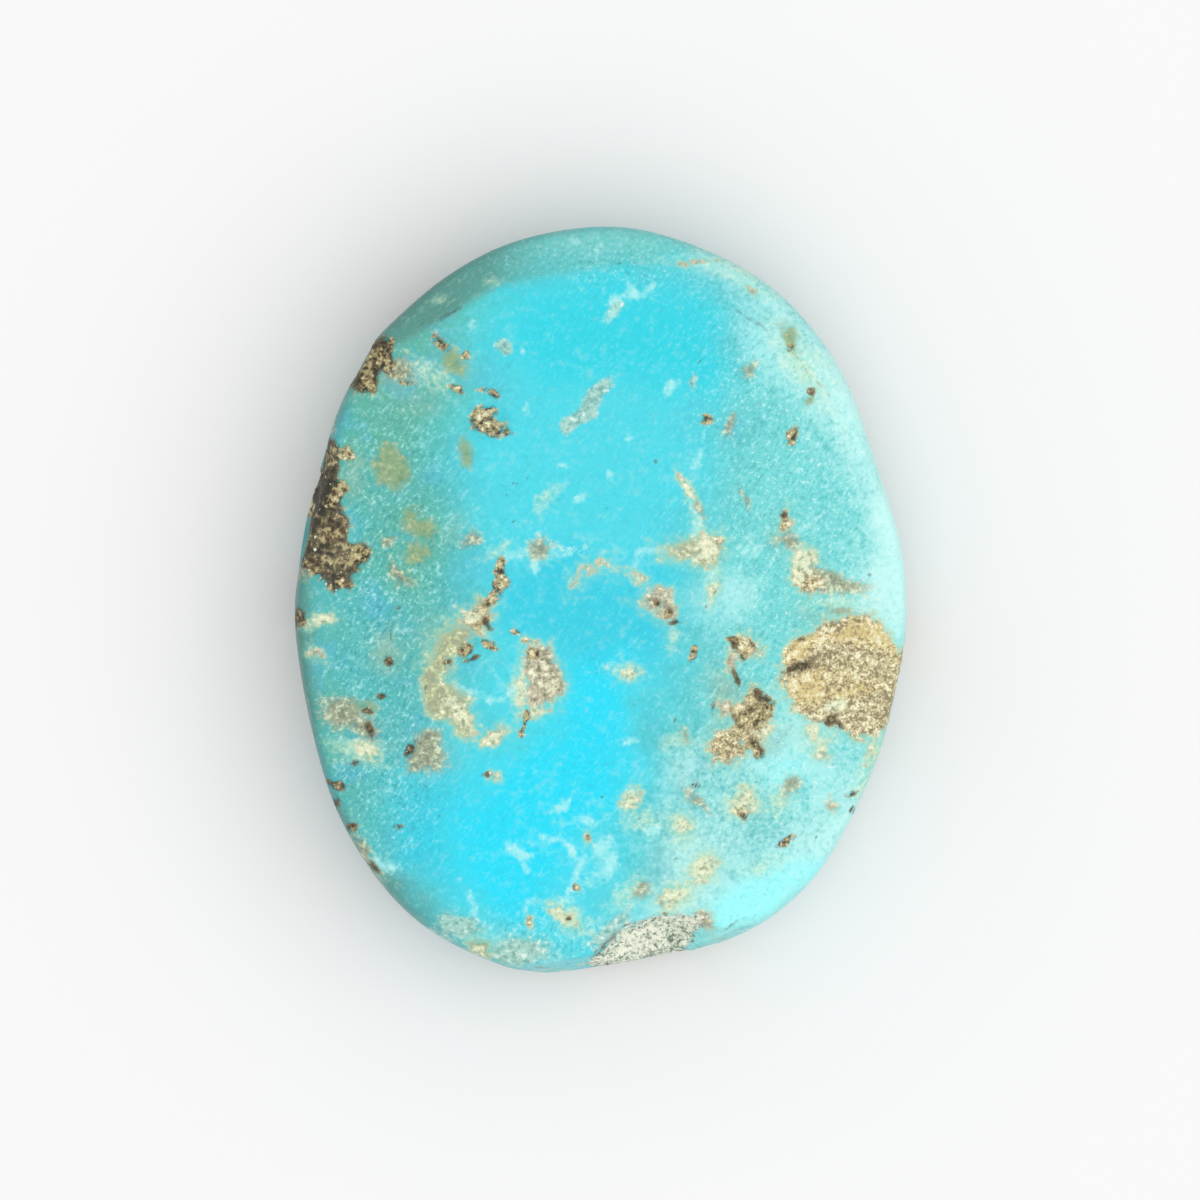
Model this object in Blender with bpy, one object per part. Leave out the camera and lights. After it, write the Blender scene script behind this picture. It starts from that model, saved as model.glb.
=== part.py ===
"""A turquoise nugget: one hand-ground, tumbled oval of turquoise that lies on its flat back.

Run it with: blender --background --python part.py, or from Blender's text editor.

The stone is one piece. Its form is a squared-off oval pebble whose heart is the origin of every ray:
  1. the rim is an ellipse with a few swells and flats,
  2. the section is a superellipse, fuller than a circle, above and below the girdle,
  3. facets are ground on it: the table, the flanks of the face, and the bevels along its edge,
  4. a piece of the lower rim has broken out along the soft matrix, and left a rough scoop,
  5. the matrix patches have worn a little lower than the turquoise round them.
All sizes are in millimetres until the mesh is made. +Z is up, out of the polished face, and +Y runs
along the stone towards its narrower end. The origin is under the middle of the stone, on its back.
"""

import math
from itertools import product

import bmesh
import bpy
import numpy as np

MM = 0.001

# Driving dimensions, in millimetres
LENGTH = 29.96
WIDTH = 24.32
GIRDLE_HEIGHT = 2.6
FACE_RISE = 4.15
BACK_DROP = 2.95

# How square the section is: 2 is an ellipse, and a higher number has a flatter face and a tighter rim
FACE_FULLNESS = 8.5
BACK_FULLNESS = 3.2

# Where the rim leaves its ellipse: bearing from +X and spread, in degrees, and how far out, in mm
RIM_SWELLS = (
    (236.0, 15.0, 0.58),  # the full lower left shoulder
    (216.0, 7.0, 0.08),
    (263.0, 5.0, 0.16),  # the lowest point, beside the break
    (306.0, 9.0, 0.22),  # the lower right shoulder
    (27.0, 9.0, -0.34),  # the flat on the upper right
    (73.0, 7.0, -0.13),
    (98.0, 6.0, -0.10),
    (132.0, 4.0, 0.14),  # the corner where the upper left bevel ends
    (157.0, 10.0, -0.20),  # the flat along the dark matrix
    (172.0, 6.0, -0.06),
)

# Ground facets: the bearing that each faces and its tilt from level, in degrees, and how far its upper
# edge lies from the middle of the face, in mm
FACETS = (
    (90.0, 0.0, 0.0),  # the table
    (350.0, 3.6, 3.2),  # the east flank
    (184.0, 4.2, 5.6),  # the west flank
    (262.0, 5.5, 10.2),  # the foot of the face
    (122.0, 38.0, 12.75),  # the broad bevel on the upper left
    (100.0, 35.0, 13.0),  # the bevel at the top
    (78.0, 27.0, 13.2),
    (57.0, 26.0, 12.5),  # the bevels on the upper right and right
    (30.0, 30.0, 12.1),
    (8.0, 33.0, 11.35),
    (292.0, 30.0, 13.55),  # the bevel on the lower right
    (280.0, 81.0, 13.72),  # the break through the lower rim, all but upright
)
TABLE_RISE = 3.9
CRISPNESS = 120.0

# The scoop over that break: the middle of an ellipsoid, its half axes along the break, across it and
# down, and the turn of the break
SCOOP_CENTRE = (2.3, -14.55, 4.6)
SCOOP_HALVES = (3.0, 2.05, 4.2)
SCOOP_TURN = 17.0

# The broken matrix is rough: ridges that run from lower left to upper right, their pitch, length and height
BREAK_PATCH = (2.3, -14.0, 3.0, 1.9, SCOOP_TURN)
RIDGE_TURN = 48.0
RIDGE_PITCH = 0.55
RIDGE_LENGTH = 1.8
RIDGE_HEIGHT = 0.2
# The share of that height that is finer grain, at half the pitch
FINE_SHARE = 0.3

# Hollows where matrix has worn lower: middle on the face, half length, half width, turn, and depth
HOLLOWS = (
    (-11.15, 3.3, 2.5, 0.75, 80.0, 0.34),  # the dark matrix along the left rim
    (-10.0, 1.9, 0.95, 0.6, 30.0, 0.22),  # its tail, which runs in over the face
    (-8.9, 9.2, 1.0, 0.65, 55.0, 0.26),  # the matrix at the upper left corner
    (-4.4, 7.1, 0.75, 0.6, 0.0, 0.22),  # the pyrite nest below it
    (-2.2, -3.1, 0.9, 0.6, 80.0, 0.16),
    (-5.4, -1.3, 0.9, 0.55, 60.0, 0.13),
    (5.9, -4.9, 1.2, 0.55, 60.0, 0.20),  # the crossed matrix beside the large patch
    (8.3, 1.6, 1.0, 0.55, 125.0, 0.14),
)

# The large tan patch stands in a shallow dish of its own, with a grain that can be felt
TAN_PATCH = (10.0, -3.6, 2.6, 1.9, -12.0, 0.10)

# How unevenly each of them has worn: the cell size of the unevenness, in mm, and its share of the depth
HOLLOW_UNEVENNESS = (0.8, 0.45)
TAN_UNEVENNESS = (0.7, 0.6)

# Slow waves that hand grinding leaves: cell size and height, in mm. They die out towards the flat back
GRINDING_WAVES = ((6.5, 0.10), (2.8, 0.035))
WAVES_FROM = 1.2

# Rings of faces on the polished side, rows down the side, and points along the section used to space them
FACE_RINGS = 28
SIDE_ROWS = 6
SECTION_SAMPLES = 600

# The edges of the break stay sharp where they turn by more than this, in degrees
SHARP_ANGLE = 50.0

# The noise numbers each cell of a lattice by a prime for each axis and one for the seed, and then mixes
# that number in stages, each a shift and a multiplier. Each kind of relief starts from a seed of its own
NOISE_PRIMES = (73856093, 19349663, 83492791)
SEED_PRIME = 2654435761
MIXING_STAGES = ((15, 2246822519), (13, 3266489917))
NOISE_SPAN = 2**32
RIDGE_SEEDS = (5, 6)
HOLLOW_SEED = 11
TAN_SEED = 12
GRINDING_SEED = 21

TURQUOISE = (0.11, 0.58, 0.66, 1.0)
TURQUOISE_ROUGHNESS = 0.34


def lattice_noise(points, cell, seed):
    """Random heights from -1 to 1 on a cubic lattice of the given cell, joined smoothly."""
    scaled = points / cell
    base = np.floor(scaled).astype(np.int64)
    share = scaled - base
    share = share * share * (3 - 2 * share)
    total = np.zeros(len(points))
    for corner in product((0, 1), repeat=3):
        mixed = ((base + corner) @ np.array(NOISE_PRIMES) + seed * SEED_PRIME) % NOISE_SPAN
        for shift, factor in MIXING_STAGES:
            mixed = ((mixed ^ (mixed >> shift)) * factor) % NOISE_SPAN
        weight = np.prod(np.where(corner, share, 1 - share), axis=1)
        total += weight * (mixed / (NOISE_SPAN / 2) - 1)
    return total


def rim_radius(bearing):
    """The rim's distance from the middle: an ellipse's, and a bell curve for each swell or flat."""
    radius = 1 / np.hypot(np.cos(bearing) / (WIDTH / 2), np.sin(bearing) / (LENGTH / 2))
    for middle, spread, out in RIM_SWELLS:
        off = (bearing - math.radians(middle) + math.pi) % (2 * math.pi) - math.pi
        radius += out * np.exp(-0.5 * (off / math.radians(spread)) ** 2)
    return radius


def section_stations(rise, fullness, count):
    """Plan shares and height shares along a quarter of the section, evenly spaced along its length."""
    angle = np.linspace(0, math.pi / 2, SECTION_SAMPLES)
    share = np.sin(angle) ** (2 / fullness)
    height = np.cos(angle) ** (2 / fullness)
    mean_radius = (LENGTH + WIDTH) / 4
    steps = np.hypot(np.diff(share) * mean_radius, np.diff(height) * rise)
    length = np.concatenate(([0], np.cumsum(steps)))
    even = np.interp(np.linspace(0, length[-1], count + 1), length, angle)
    return np.sin(even) ** (2 / fullness), np.cos(even) ** (2 / fullness)


def turned(x, y, degrees):
    """Plan offsets, turned into the frame of a feature that is itself turned by so many degrees."""
    turn = math.radians(degrees)
    return x * math.cos(turn) + y * math.sin(turn), y * math.cos(turn) - x * math.sin(turn)


def scoop_share(points):
    """How far past the scoop's surface each point lies: its own distance over the surface's, on one ray.

    A ray t*p meets the ellipsoid where |(t*p - c)/h| = 1, a quadratic in t. The nearer root is the broken
    surface. A ray that passes by gets 0.
    """
    halves = np.array(SCOOP_HALVES)
    ray = np.column_stack((*turned(points[:, 0], points[:, 1], SCOOP_TURN), points[:, 2])) / halves
    x, y, z = SCOOP_CENTRE
    middle = np.array((*turned(x, y, SCOOP_TURN), z)) / halves
    a = (ray**2).sum(1)
    b = ray @ middle
    inside = b**2 - a * (middle @ middle - 1)
    reach = b - np.sqrt(np.maximum(inside, 0))
    hit = (inside > 0) & (reach > 0)
    return np.where(hit, a / np.where(hit, reach, 1), 0)


def grind(points):
    """Draws points in towards the heart until none stands outside a facet or inside the scoop.

    Each facet's share is a point's distance along the normal over the facet's own distance, and the
    shares are joined by a high power, which leaves slightly worn edges between them.
    """
    total = 1 + scoop_share(points) ** CRISPNESS
    for bearing, tilt, edge in FACETS:
        turn, lean = math.radians(bearing), math.radians(tilt)
        normal = np.array((math.sin(lean) * math.cos(turn), math.sin(lean) * math.sin(turn), math.cos(lean)))
        distance = edge * math.sin(lean) + TABLE_RISE * math.cos(lean)
        total += np.maximum(points @ normal / distance, 0) ** CRISPNESS
    return points / total[:, None] ** (1 / CRISPNESS)


def patch(points, x, y, half_length, half_width, turn):
    """1 in the middle of a patch, falling smoothly to 0 a little beyond its edge."""
    along, across = turned(points[:, 0] - x, points[:, 1] - y, turn)
    return np.exp(-((along / half_length) ** 2 + (across / half_width) ** 2) ** 1.5)


def ridges(points):
    """Heights from -1 to 1 of ridges that all run the same way, with finer grain on them."""
    along, across = turned(points[:, 0], points[:, 1], RIDGE_TURN)
    stretched = np.column_stack((along / RIDGE_LENGTH, across / RIDGE_PITCH, points[:, 2] / RIDGE_PITCH))
    coarse = lattice_noise(stretched, 1.0, RIDGE_SEEDS[0])
    fine = lattice_noise(points, RIDGE_PITCH / 2, RIDGE_SEEDS[1])
    return (1 - FINE_SHARE) * coarse + FINE_SHARE * fine


def relief(points):
    """How far the surface lies below the ground form, in mm. Points are measured from the heart."""
    depth = np.zeros(len(points))
    cell, share = HOLLOW_UNEVENNESS
    for *place, deep in HOLLOWS:
        depth += deep * (1 + share * lattice_noise(points, cell, HOLLOW_SEED)) * patch(points, *place)
    cell, share = TAN_UNEVENNESS
    *place, deep = TAN_PATCH
    depth += deep * (1 + share * lattice_noise(points, cell, TAN_SEED)) * patch(points, *place)
    depth += RIDGE_HEIGHT * ridges(points) * patch(points, *BREAK_PATCH)
    depth *= points[:, 2] > 0
    above_back = points[:, 2] + GIRDLE_HEIGHT
    for seed, (cell, height) in enumerate(GRINDING_WAVES):
        waves = height * lattice_noise(points, cell, GRINDING_SEED + seed)
        depth += waves * np.clip(above_back / WAVES_FROM, 0, 1) ** 2
    return depth


def nugget_cage():
    """A square grid of faces, skirted by rows of faces down the side and closed by one flat back.

    Every vertex holds its place in the lattice, and not yet in the stone: x and y are columns of the
    grid, and z is minus the number of its row below the girdle.
    """
    cage = bmesh.new()
    bmesh.ops.create_grid(cage, x_segments=2 * FACE_RINGS, y_segments=2 * FACE_RINGS, size=FACE_RINGS)
    edge = [e for e in cage.edges if e.is_boundary]
    for _ in range(SIDE_ROWS):
        skirt = bmesh.ops.extrude_edge_only(cage, edges=edge)["geom"]
        for vertex in (g for g in skirt if isinstance(g, bmesh.types.BMVert)):
            vertex.co.z -= 1
        edge = [g for g in skirt if isinstance(g, bmesh.types.BMEdge) and g.is_boundary]
    bmesh.ops.contextual_create(cage, geom=edge)
    bmesh.ops.recalc_face_normals(cage, faces=cage.faces)
    return cage


def square_to_bearing(x, y):
    """The bearing of a lattice point when each square ring of the lattice is wound into a round one."""
    wide = np.abs(x) >= np.abs(y)
    longer = np.where(wide, x, y)
    safe = np.where(longer == 0, 1, longer)
    slant = np.where(wide, y, -x) / safe * math.pi / 4
    start = np.where(wide, np.where(x < 0, math.pi, 0), np.where(y < 0, -math.pi / 2, math.pi / 2))
    return start + slant


def stone_points(lattice):
    """Carries lattice places to the stone: rings to the face, rows to the side and the flat back."""
    x, y, z = lattice.T
    ring = np.rint(np.maximum(np.abs(x), np.abs(y))).astype(int)
    row = np.rint(-z).astype(int)
    bearing = square_to_bearing(x, y)
    face_share, face_height = section_stations(FACE_RISE, FACE_FULLNESS, FACE_RINGS)
    back_share, back_height = section_stations(BACK_DROP, BACK_FULLNESS, SECTION_SAMPLES)
    flat_from = np.argmax(back_height * BACK_DROP < GIRDLE_HEIGHT)
    stations = np.linspace(SECTION_SAMPLES, flat_from, SIDE_ROWS + 1).astype(int)
    below = row > 0
    share = np.where(below, back_share[stations[row]], face_share[ring])
    height = np.where(below, -BACK_DROP * back_height[stations[row]], FACE_RISE * face_height[ring])
    radius = rim_radius(bearing) * share
    points = np.column_stack((radius * np.cos(bearing), radius * np.sin(bearing), height))
    return grind(points)


def vertex_array(mesh, name, source):
    """A vector of each vertex, as an array with one row for each."""
    values = np.empty(len(mesh.vertices) * 3)
    source.foreach_get(name, values)
    return values.reshape(-1, 3)


def turquoise_material():
    """Waxy, half polished blue-green stone."""
    material = bpy.data.materials.new("turquoise")
    material.use_nodes = True
    shader = material.node_tree.nodes["Principled BSDF"]
    shader.inputs["Base Color"].default_value = TURQUOISE
    shader.inputs["Roughness"].default_value = TURQUOISE_ROUGHNESS
    shader.inputs["Metallic"].default_value = 0.0
    material.diffuse_color = TURQUOISE
    return material


def build_nugget(collection):
    """The stone itself: the cage, carried to the ground form, then worn down by its relief."""
    mesh = bpy.data.meshes.new("turquoise_nugget")
    cage = nugget_cage()
    cage.to_mesh(mesh)
    cage.free()

    points = stone_points(vertex_array(mesh, "co", mesh.vertices))
    mesh.vertices.foreach_set("co", points.ravel())
    mesh.update()
    normals = vertex_array(mesh, "vector", mesh.vertex_normals)
    points -= normals * relief(points)[:, None]
    points[:, 2] += GIRDLE_HEIGHT

    # The back was ground flat: the lowest row is brought to one plane, and nothing reaches below it
    lowest_row = len(points) - 8 * FACE_RINGS
    points[lowest_row:, 2] = 0
    points[:, 2] = np.maximum(points[:, 2], 0)
    mesh.vertices.foreach_set("co", (points * MM).ravel())
    mesh.update()
    mesh.shade_smooth()
    mesh.set_sharp_from_angle(angle=math.radians(SHARP_ANGLE))
    mesh.materials.append(turquoise_material())

    nugget = bpy.data.objects.new("turquoise_nugget", mesh)
    collection.objects.link(nugget)
    return nugget


def main():
    for old in list(bpy.data.objects):
        bpy.data.objects.remove(old)
    collection = bpy.data.collections.new("turquoise nugget")
    bpy.context.scene.collection.children.link(collection)
    build_nugget(collection)


main()
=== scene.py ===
"""A turquoise nugget: one hand-ground oval of turquoise that lies on its flat back in a plain studio.

The stone is one closed surface. Its form is a squared-off oval pebble with ground facets and a chip,
and its matrix, stains and pyrite are laid out on it as patches. How deep a point lies in each kind of
patch is stored with the point, and the material turns those depths into colour, grain and gloss.
Sizes and places are worked out in millimetres from the stone's heart, and become metres in the mesh.
+Z is up, out of the polished face, and +Y runs along the stone towards its narrower end.
"""

import math
from itertools import chain, product
from types import SimpleNamespace

import bpy
import numpy as np
from bpy.props import FloatProperty, FloatVectorProperty, IntProperty, PointerProperty
from bpy.types import Operator, Panel, PropertyGroup
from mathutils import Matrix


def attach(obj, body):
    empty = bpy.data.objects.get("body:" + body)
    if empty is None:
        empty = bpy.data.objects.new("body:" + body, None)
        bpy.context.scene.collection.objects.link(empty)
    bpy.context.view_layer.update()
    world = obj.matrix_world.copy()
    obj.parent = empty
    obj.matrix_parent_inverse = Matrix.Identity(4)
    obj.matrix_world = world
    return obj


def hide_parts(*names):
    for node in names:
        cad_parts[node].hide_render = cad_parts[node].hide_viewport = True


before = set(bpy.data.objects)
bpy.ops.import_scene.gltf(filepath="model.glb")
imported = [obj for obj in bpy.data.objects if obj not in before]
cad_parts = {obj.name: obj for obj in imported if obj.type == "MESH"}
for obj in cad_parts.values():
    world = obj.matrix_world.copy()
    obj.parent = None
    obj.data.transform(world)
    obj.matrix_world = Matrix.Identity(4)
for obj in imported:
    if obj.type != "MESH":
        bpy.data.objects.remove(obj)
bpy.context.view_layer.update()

bl_info = {
    "name": "Turquoise Nugget",
    "version": (1, 0, 0),
    "blender": (4, 5, 0),
    "location": "View3D > Sidebar > Turquoise Nugget",
    "description": "Builds a ground turquoise nugget with its matrix, and a plain studio round it",
    "category": "Object",
}

MM = 0.001
STONE = "turquoise_nugget"

# The form of the stone

GIRDLE_HEIGHT = 2.6
FACE_RISE = 4.15
BACK_DROP = 2.95
FACE_FULLNESS = 8.5
BACK_FULLNESS = 3.2
SECTION_SAMPLES = 600

# Where the rim leaves its ellipse: bearing from +X and spread, in degrees, and how far out
RIM_SWELLS = (
    (236.0, 15.0, 0.58),  # the full lower left shoulder
    (216.0, 7.0, 0.08),
    (263.0, 5.0, 0.16),  # the lowest point, beside the break
    (306.0, 9.0, 0.22),  # the lower right shoulder
    (27.0, 9.0, -0.34),  # the flat on the upper right
    (73.0, 7.0, -0.13),
    (98.0, 6.0, -0.1),
    (132.0, 4.0, 0.14),  # the corner where the upper left bevel ends
    (157.0, 10.0, -0.2),  # the flat along the dark matrix
    (172.0, 6.0, -0.06),
)

# Ground facets: the bearing that each faces and its tilt from level, in degrees, and how far its
# upper edge lies from the middle of the face
FACETS = (
    (90.0, 0.0, 0.0),  # the table
    (350.0, 3.6, 3.2),  # the east flank
    (184.0, 4.2, 5.6),  # the west flank
    (262.0, 5.5, 10.2),  # the foot of the face
    (122.0, 38.0, 12.75),  # the broad bevel on the upper left
    (100.0, 35.0, 13.0),  # the bevel at the top
    (78.0, 27.0, 13.2),
    (57.0, 26.0, 12.5),  # the bevels on the upper right and right
    (30.0, 30.0, 12.1),
    (8.0, 33.0, 11.35),
    (292.0, 30.0, 13.55),  # the bevel on the lower right
    (280.0, 81.0, 13.72),  # the break through the lower rim, all but upright
)
TABLE_RISE = 3.9
CRISPNESS = 120.0

# The scoop over that break: the middle of an ellipsoid, its half axes along, across and down, and its
# turn. Its patch and its outline are the rough stone that shows there
SCOOP_CENTRE = (2.3, -14.55, 4.6)
SCOOP_HALVES = (3.0, 2.05, 4.2)
SCOOP_TURN = 17.0
BREAK_PATCH = (2.3, -14.0, 3.0, 1.9, SCOOP_TURN)
BREAK_OUTLINE = (
    (-0.45, -14.3), (0.3, -13.6), (0.95, -13.1), (1.85, -12.6), (3.2, -12.4), (4.3, -12.55),
    (3.95, -13.1), (3.6, -13.65), (3.2, -14.2), (2.9, -15.6), (-0.2, -15.6),
)
RIDGE_TURN = 48.0
RIDGE_PITCH = 0.55
RIDGE_LENGTH = 1.8
RIDGE_SEEDS = (5, 6)
FINE_SHARE = 0.3
CRUMB_CELL = 0.24
CRUMB_HEIGHT = 0.05
CRUMB_SEEDS = (7, 8)

# Hollows where matrix has worn lower: middle, half length, half width, turn, and depth
HOLLOWS = (
    (-11.15, 3.3, 2.5, 0.75, 80.0, 0.34),  # the dark matrix along the left rim
    (-10.0, 1.9, 0.95, 0.6, 30.0, 0.22),  # its tail, which runs in over the face
    (-8.9, 9.2, 1.0, 0.65, 55.0, 0.26),  # the matrix at the upper left corner
    (-4.4, 7.1, 0.75, 0.6, 0.0, 0.22),  # the pyrite nest below it
    (-2.2, -3.1, 0.9, 0.6, 80.0, 0.16),
    (-5.4, -1.3, 0.9, 0.55, 60.0, 0.13),
    (5.9, -4.9, 1.2, 0.55, 60.0, 0.2),  # the crossed matrix beside the large patch
    (8.3, 1.6, 1.0, 0.55, 125.0, 0.14),
)
TAN_DISH = (10.0, -3.6, 2.6, 1.9, -12.0, 0.1)
# How uneven the floor of a hollow is: the cell of its noise, its share of the depth, and its seed
HOLLOW_UNEVENNESS = (0.8, 0.45, 11)
TAN_UNEVENNESS = (0.7, 0.6, 12)
# Slow waves left by grinding: cell and height. They fade out over the last way down to the back
GRINDING_WAVES = ((6.5, 0.1), (2.8, 0.035))
GRINDING_SEED = 21
WAVES_FROM = 1.2

# Rings of points down the side: points to a ring for each ring of the face, and how many such rings.
# The back has fewer rings of its own than the face
SIDE_RINGS = ((8, 9), (4, 3), (2, 1))
BACK_RINGS_SHARE = 4

# The markings of the face. A blot is its middle, half length, half width and turn in degrees, and an
# outline is a closed row of corners, all of them placed one by one

PYRITE = (
    (-6.28, 10.18, 0.4, 0.2, -42), (-5.35, 9.73, 0.17, 0.13, 60), (-5.74, 8.36, 0.26, 0.15, -10),
    (-4.18, 8.19, 0.22, 0.15, -20), (-4.72, 8.28, 0.24, 0.07, -5),
    # the pyrite nest
    (-4.72, 7.2, 0.46, 0.4, 20), (-4.25, 6.84, 0.52, 0.4, -30), (-4.4, 7.5, 0.34, 0.24, 20),
    (-3.72, 6.66, 0.22, 0.1, -20),
    # the upper left corner
    (-9.32, 8.75, 0.46, 0.28, -70), (-9.2, 9.45, 0.44, 0.3, 60), (-8.8, 9.72, 0.32, 0.26, 30),
    (-8.42, 9.25, 0.36, 0.18, -30), (-7.72, 8.66, 0.32, 0.11, -15), (-8.28, 10.18, 0.28, 0.12, 60),
    # the left rim
    (-10.1, 5.8, 0.34, 0.28, 20), (-10.5, 4.15, 0.56, 0.3, 55), (-9.45, 1.78, 0.38, 0.24, 20),
    (-10.35, 0.8, 0.36, 0.18, -60),
    # down the upper end of the arc, then single specks
    (-3.98, 1.25, 0.44, 0.24, 85), (-3.94, 0.62, 0.42, 0.34, 60), (-4.32, 0.06, 0.4, 0.15, 55),
    (-5.34, -1.95, 0.32, 0.26, 80), (-4.42, -1.84, 0.34, 0.17, -28), (-3.4, -1.27, 0.28, 0.14, 12),
    (-2.66, -2.17, 0.26, 0.22, 20), (-3.0, -4.82, 0.52, 0.1, 80), (0.81, 1.03, 0.17, 0.14, 0),
    (4.22, 7.13, 0.23, 0.2, 0), (7.56, 6.46, 0.42, 0.17, 74), (3.72, -2.1, 0.32, 0.13, 62),
    # the crossed matrix, then single specks
    (5.7, -4.62, 0.3, 0.24, 70), (6.32, -4.6, 0.4, 0.24, 30), (6.66, -4.2, 0.22, 0.2, 0),
    (6.22, -6.0, 0.38, 0.14, -58), (5.72, -2.22, 0.18, 0.16, 0), (7.4, -9.57, 0.36, 0.19, 25),
    (-0.9, -11.4, 0.2, 0.16, 0),
)

DARK = (
    (-6.05, -2.5, 0.17, 0.12, 30), (-5.05, -2.36, 0.26, 0.1, 20), (-4.45, -1.0, 0.26, 0.14, -60),
    (-7.52, -5.9, 0.4, 0.2, 66), (-8.36, -2.48, 0.22, 0.18, 70), (-8.65, -3.88, 0.2, 0.13, 0),
    (-9.25, -4.42, 0.14, 0.12, 0), (-9.12, -5.18, 0.34, 0.22, -60), (-9.7, -6.42, 0.26, 0.12, 10),
    (-10.42, -7.32, 0.36, 0.2, -15), (-10.5, -8.05, 0.26, 0.13, 80), (-9.9, -9.04, 0.28, 0.16, 30),
    (-9.02, -10.62, 0.3, 0.18, -50), (-7.95, -9.02, 0.2, 0.09, 0), (-11.95, -0.7, 0.36, 0.26, 80),
    (-8.5, 9.18, 0.26, 0.18, -50), (-4.45, -6.96, 0.24, 0.11, -18),
    # the dark bands in the large patch and to its left
    (7.92, -2.66, 0.62, 0.17, 22), (8.0, -1.55, 0.24, 0.1, 20), (9.15, -4.78, 0.34, 0.14, 50),
    (9.55, -4.95, 0.24, 0.12, -60), (5.36, -3.1, 0.36, 0.12, -75), (5.32, -1.6, 0.2, 0.13, -40),
    (6.1, -1.7, 0.22, 0.09, -50),
    # round the crossed matrix, then single specks
    (5.45, -4.75, 0.4, 0.13, -60), (5.95, -4.32, 0.36, 0.11, 20), (6.58, -4.0, 0.46, 0.13, -72),
    (6.35, -4.78, 0.4, 0.12, 35), (6.22, -5.85, 0.5, 0.17, -60), (5.25, -1.75, 0.3, 0.1, -60),
    (6.32, -3.84, 0.4, 0.14, -65), (4.47, -4.28, 0.22, 0.09, 88), (3.84, -7.36, 0.22, 0.11, -10),
    (5.7, -8.58, 0.26, 0.12, -10), (3.0, -0.9, 0.22, 0.09, -25), (2.3, -0.12, 0.2, 0.12, -40),
    (2.72, -0.45, 0.18, 0.12, 60), (8.36, 8.26, 0.15, 0.1, 60), (7.3, 3.36, 0.2, 0.14, 0),
    (7.55, 9.93, 0.14, 0.12, 0), (-0.85, 1.5, 0.14, 0.12, 0), (-4.5, -13.62, 0.2, 0.07, -5),
    (-2.45, -14.68, 0.14, 0.09, -20), (-1.28, -12.66, 0.11, 0.09, 0), (-1.12, -14.74, 0.12, 0.1, 0),
    (9.95, -7.7, 0.18, 0.1, 20), (10.0, -8.34, 0.14, 0.1, 80),
)
DARK_OUTLINES = (
    # along the left rim
    (
        (-10.95, 6.6), (-10.45, 6.2), (-10.3, 5.4), (-10.45, 4.8), (-10.15, 4.4), (-10.2, 3.6),
        (-9.95, 3.0), (-9.95, 2.3), (-9.3, 2.15), (-9.05, 1.8), (-9.7, 1.2), (-9.95, 0.55),
        (-10.55, 0.25), (-11.1, 0.85), (-11.6, 1.25), (-12.5, 1.5), (-12.8, 4.0), (-12.0, 5.8),
    ),
    # the upper left corner
    (
        (-8.45, 10.45), (-8.35, 9.95), (-8.15, 9.35), (-8.75, 9.05), (-8.95, 8.35), (-9.45, 8.15),
        (-10.1, 8.6), (-10.1, 9.6), (-9.2, 10.4),
    ),
)

TAN = (
    (-10.72, 2.6, 0.62, 0.42, 60), (-4.85, -0.75, 0.6, 0.46, 20), (-2.78, -1.57, 0.15, 0.1, 0),
    (5.8, -1.9, 0.46, 0.4, 0), (5.18, -5.8, 0.72, 0.54, 10), (5.75, -5.35, 0.34, 0.28, 40),
    (4.62, 2.22, 0.26, 0.24, 0), (8.3, 0.55, 0.55, 0.36, -10), (7.35, 3.14, 0.34, 0.22, 75),
    (-2.8, -12.78, 0.12, 0.18, 0), (-0.45, -9.5, 0.18, 0.09, -60), (5.7, -8.4, 0.34, 0.2, -10),
)
TAN_OUTLINES = (
    # the large patch on the right
    (
        (7.15, -1.9), (8.0, -1.45), (8.7, -1.35), (8.95, -0.9), (10.1, -0.75), (10.9, -1.0),
        (12.05, -2.1), (12.5, -3.0), (11.8, -4.6), (11.3, -5.5), (10.4, -5.45), (9.6, -5.15),
        (9.0, -4.75), (8.2, -4.72), (7.75, -4.4), (7.35, -3.6), (7.2, -2.8),
    ),
    # the crossed matrix beside it
    (
        (5.25, -4.4), (5.95, -4.2), (6.05, -3.4), (6.55, -3.45), (6.9, -4.2), (6.75, -4.9),
        (6.4, -5.3), (6.45, -6.1), (6.0, -5.7), (5.5, -5.05),
    ),
)
BUFF = (
    (-7.95, 9.02, 0.66, 0.46, -28), (-7.95, 1.08, 0.6, 0.28, -36), (7.5, 2.4, 0.42, 0.34, 0),
    (9.9, 0.6, 0.66, 0.34, -8), (-9.4, -9.78, 0.5, 0.26, -58), (7.55, -7.45, 0.56, 0.34, 60),
    (-10.85, 6.9, 0.4, 0.22, 60), (5.95, 9.12, 0.32, 0.26, 60), (-2.35, 2.1, 0.4, 0.28, 80),
    (3.8, -7.85, 0.6, 0.2, -50), (9.7, -0.5, 0.6, 0.18, -12), (-11.5, 1.3, 0.8, 0.5, 0),
    (1.7, -11.6, 0.4, 0.28, 40), (-5.1, 2.4, 0.34, 0.26, 0), (5.6, 4.0, 0.32, 0.12, -70),
    (3.82, 3.55, 0.4, 0.11, -76), (2.4, -12.0, 0.24, 0.18, 0), (5.1, 6.95, 0.44, 0.12, 68),
    (-10.2, -4.6, 1.0, 0.6, -8), (-9.3, -5.2, 0.6, 0.4, -60), (-8.4, 2.3, 0.3, 0.2, 0),
)
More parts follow.
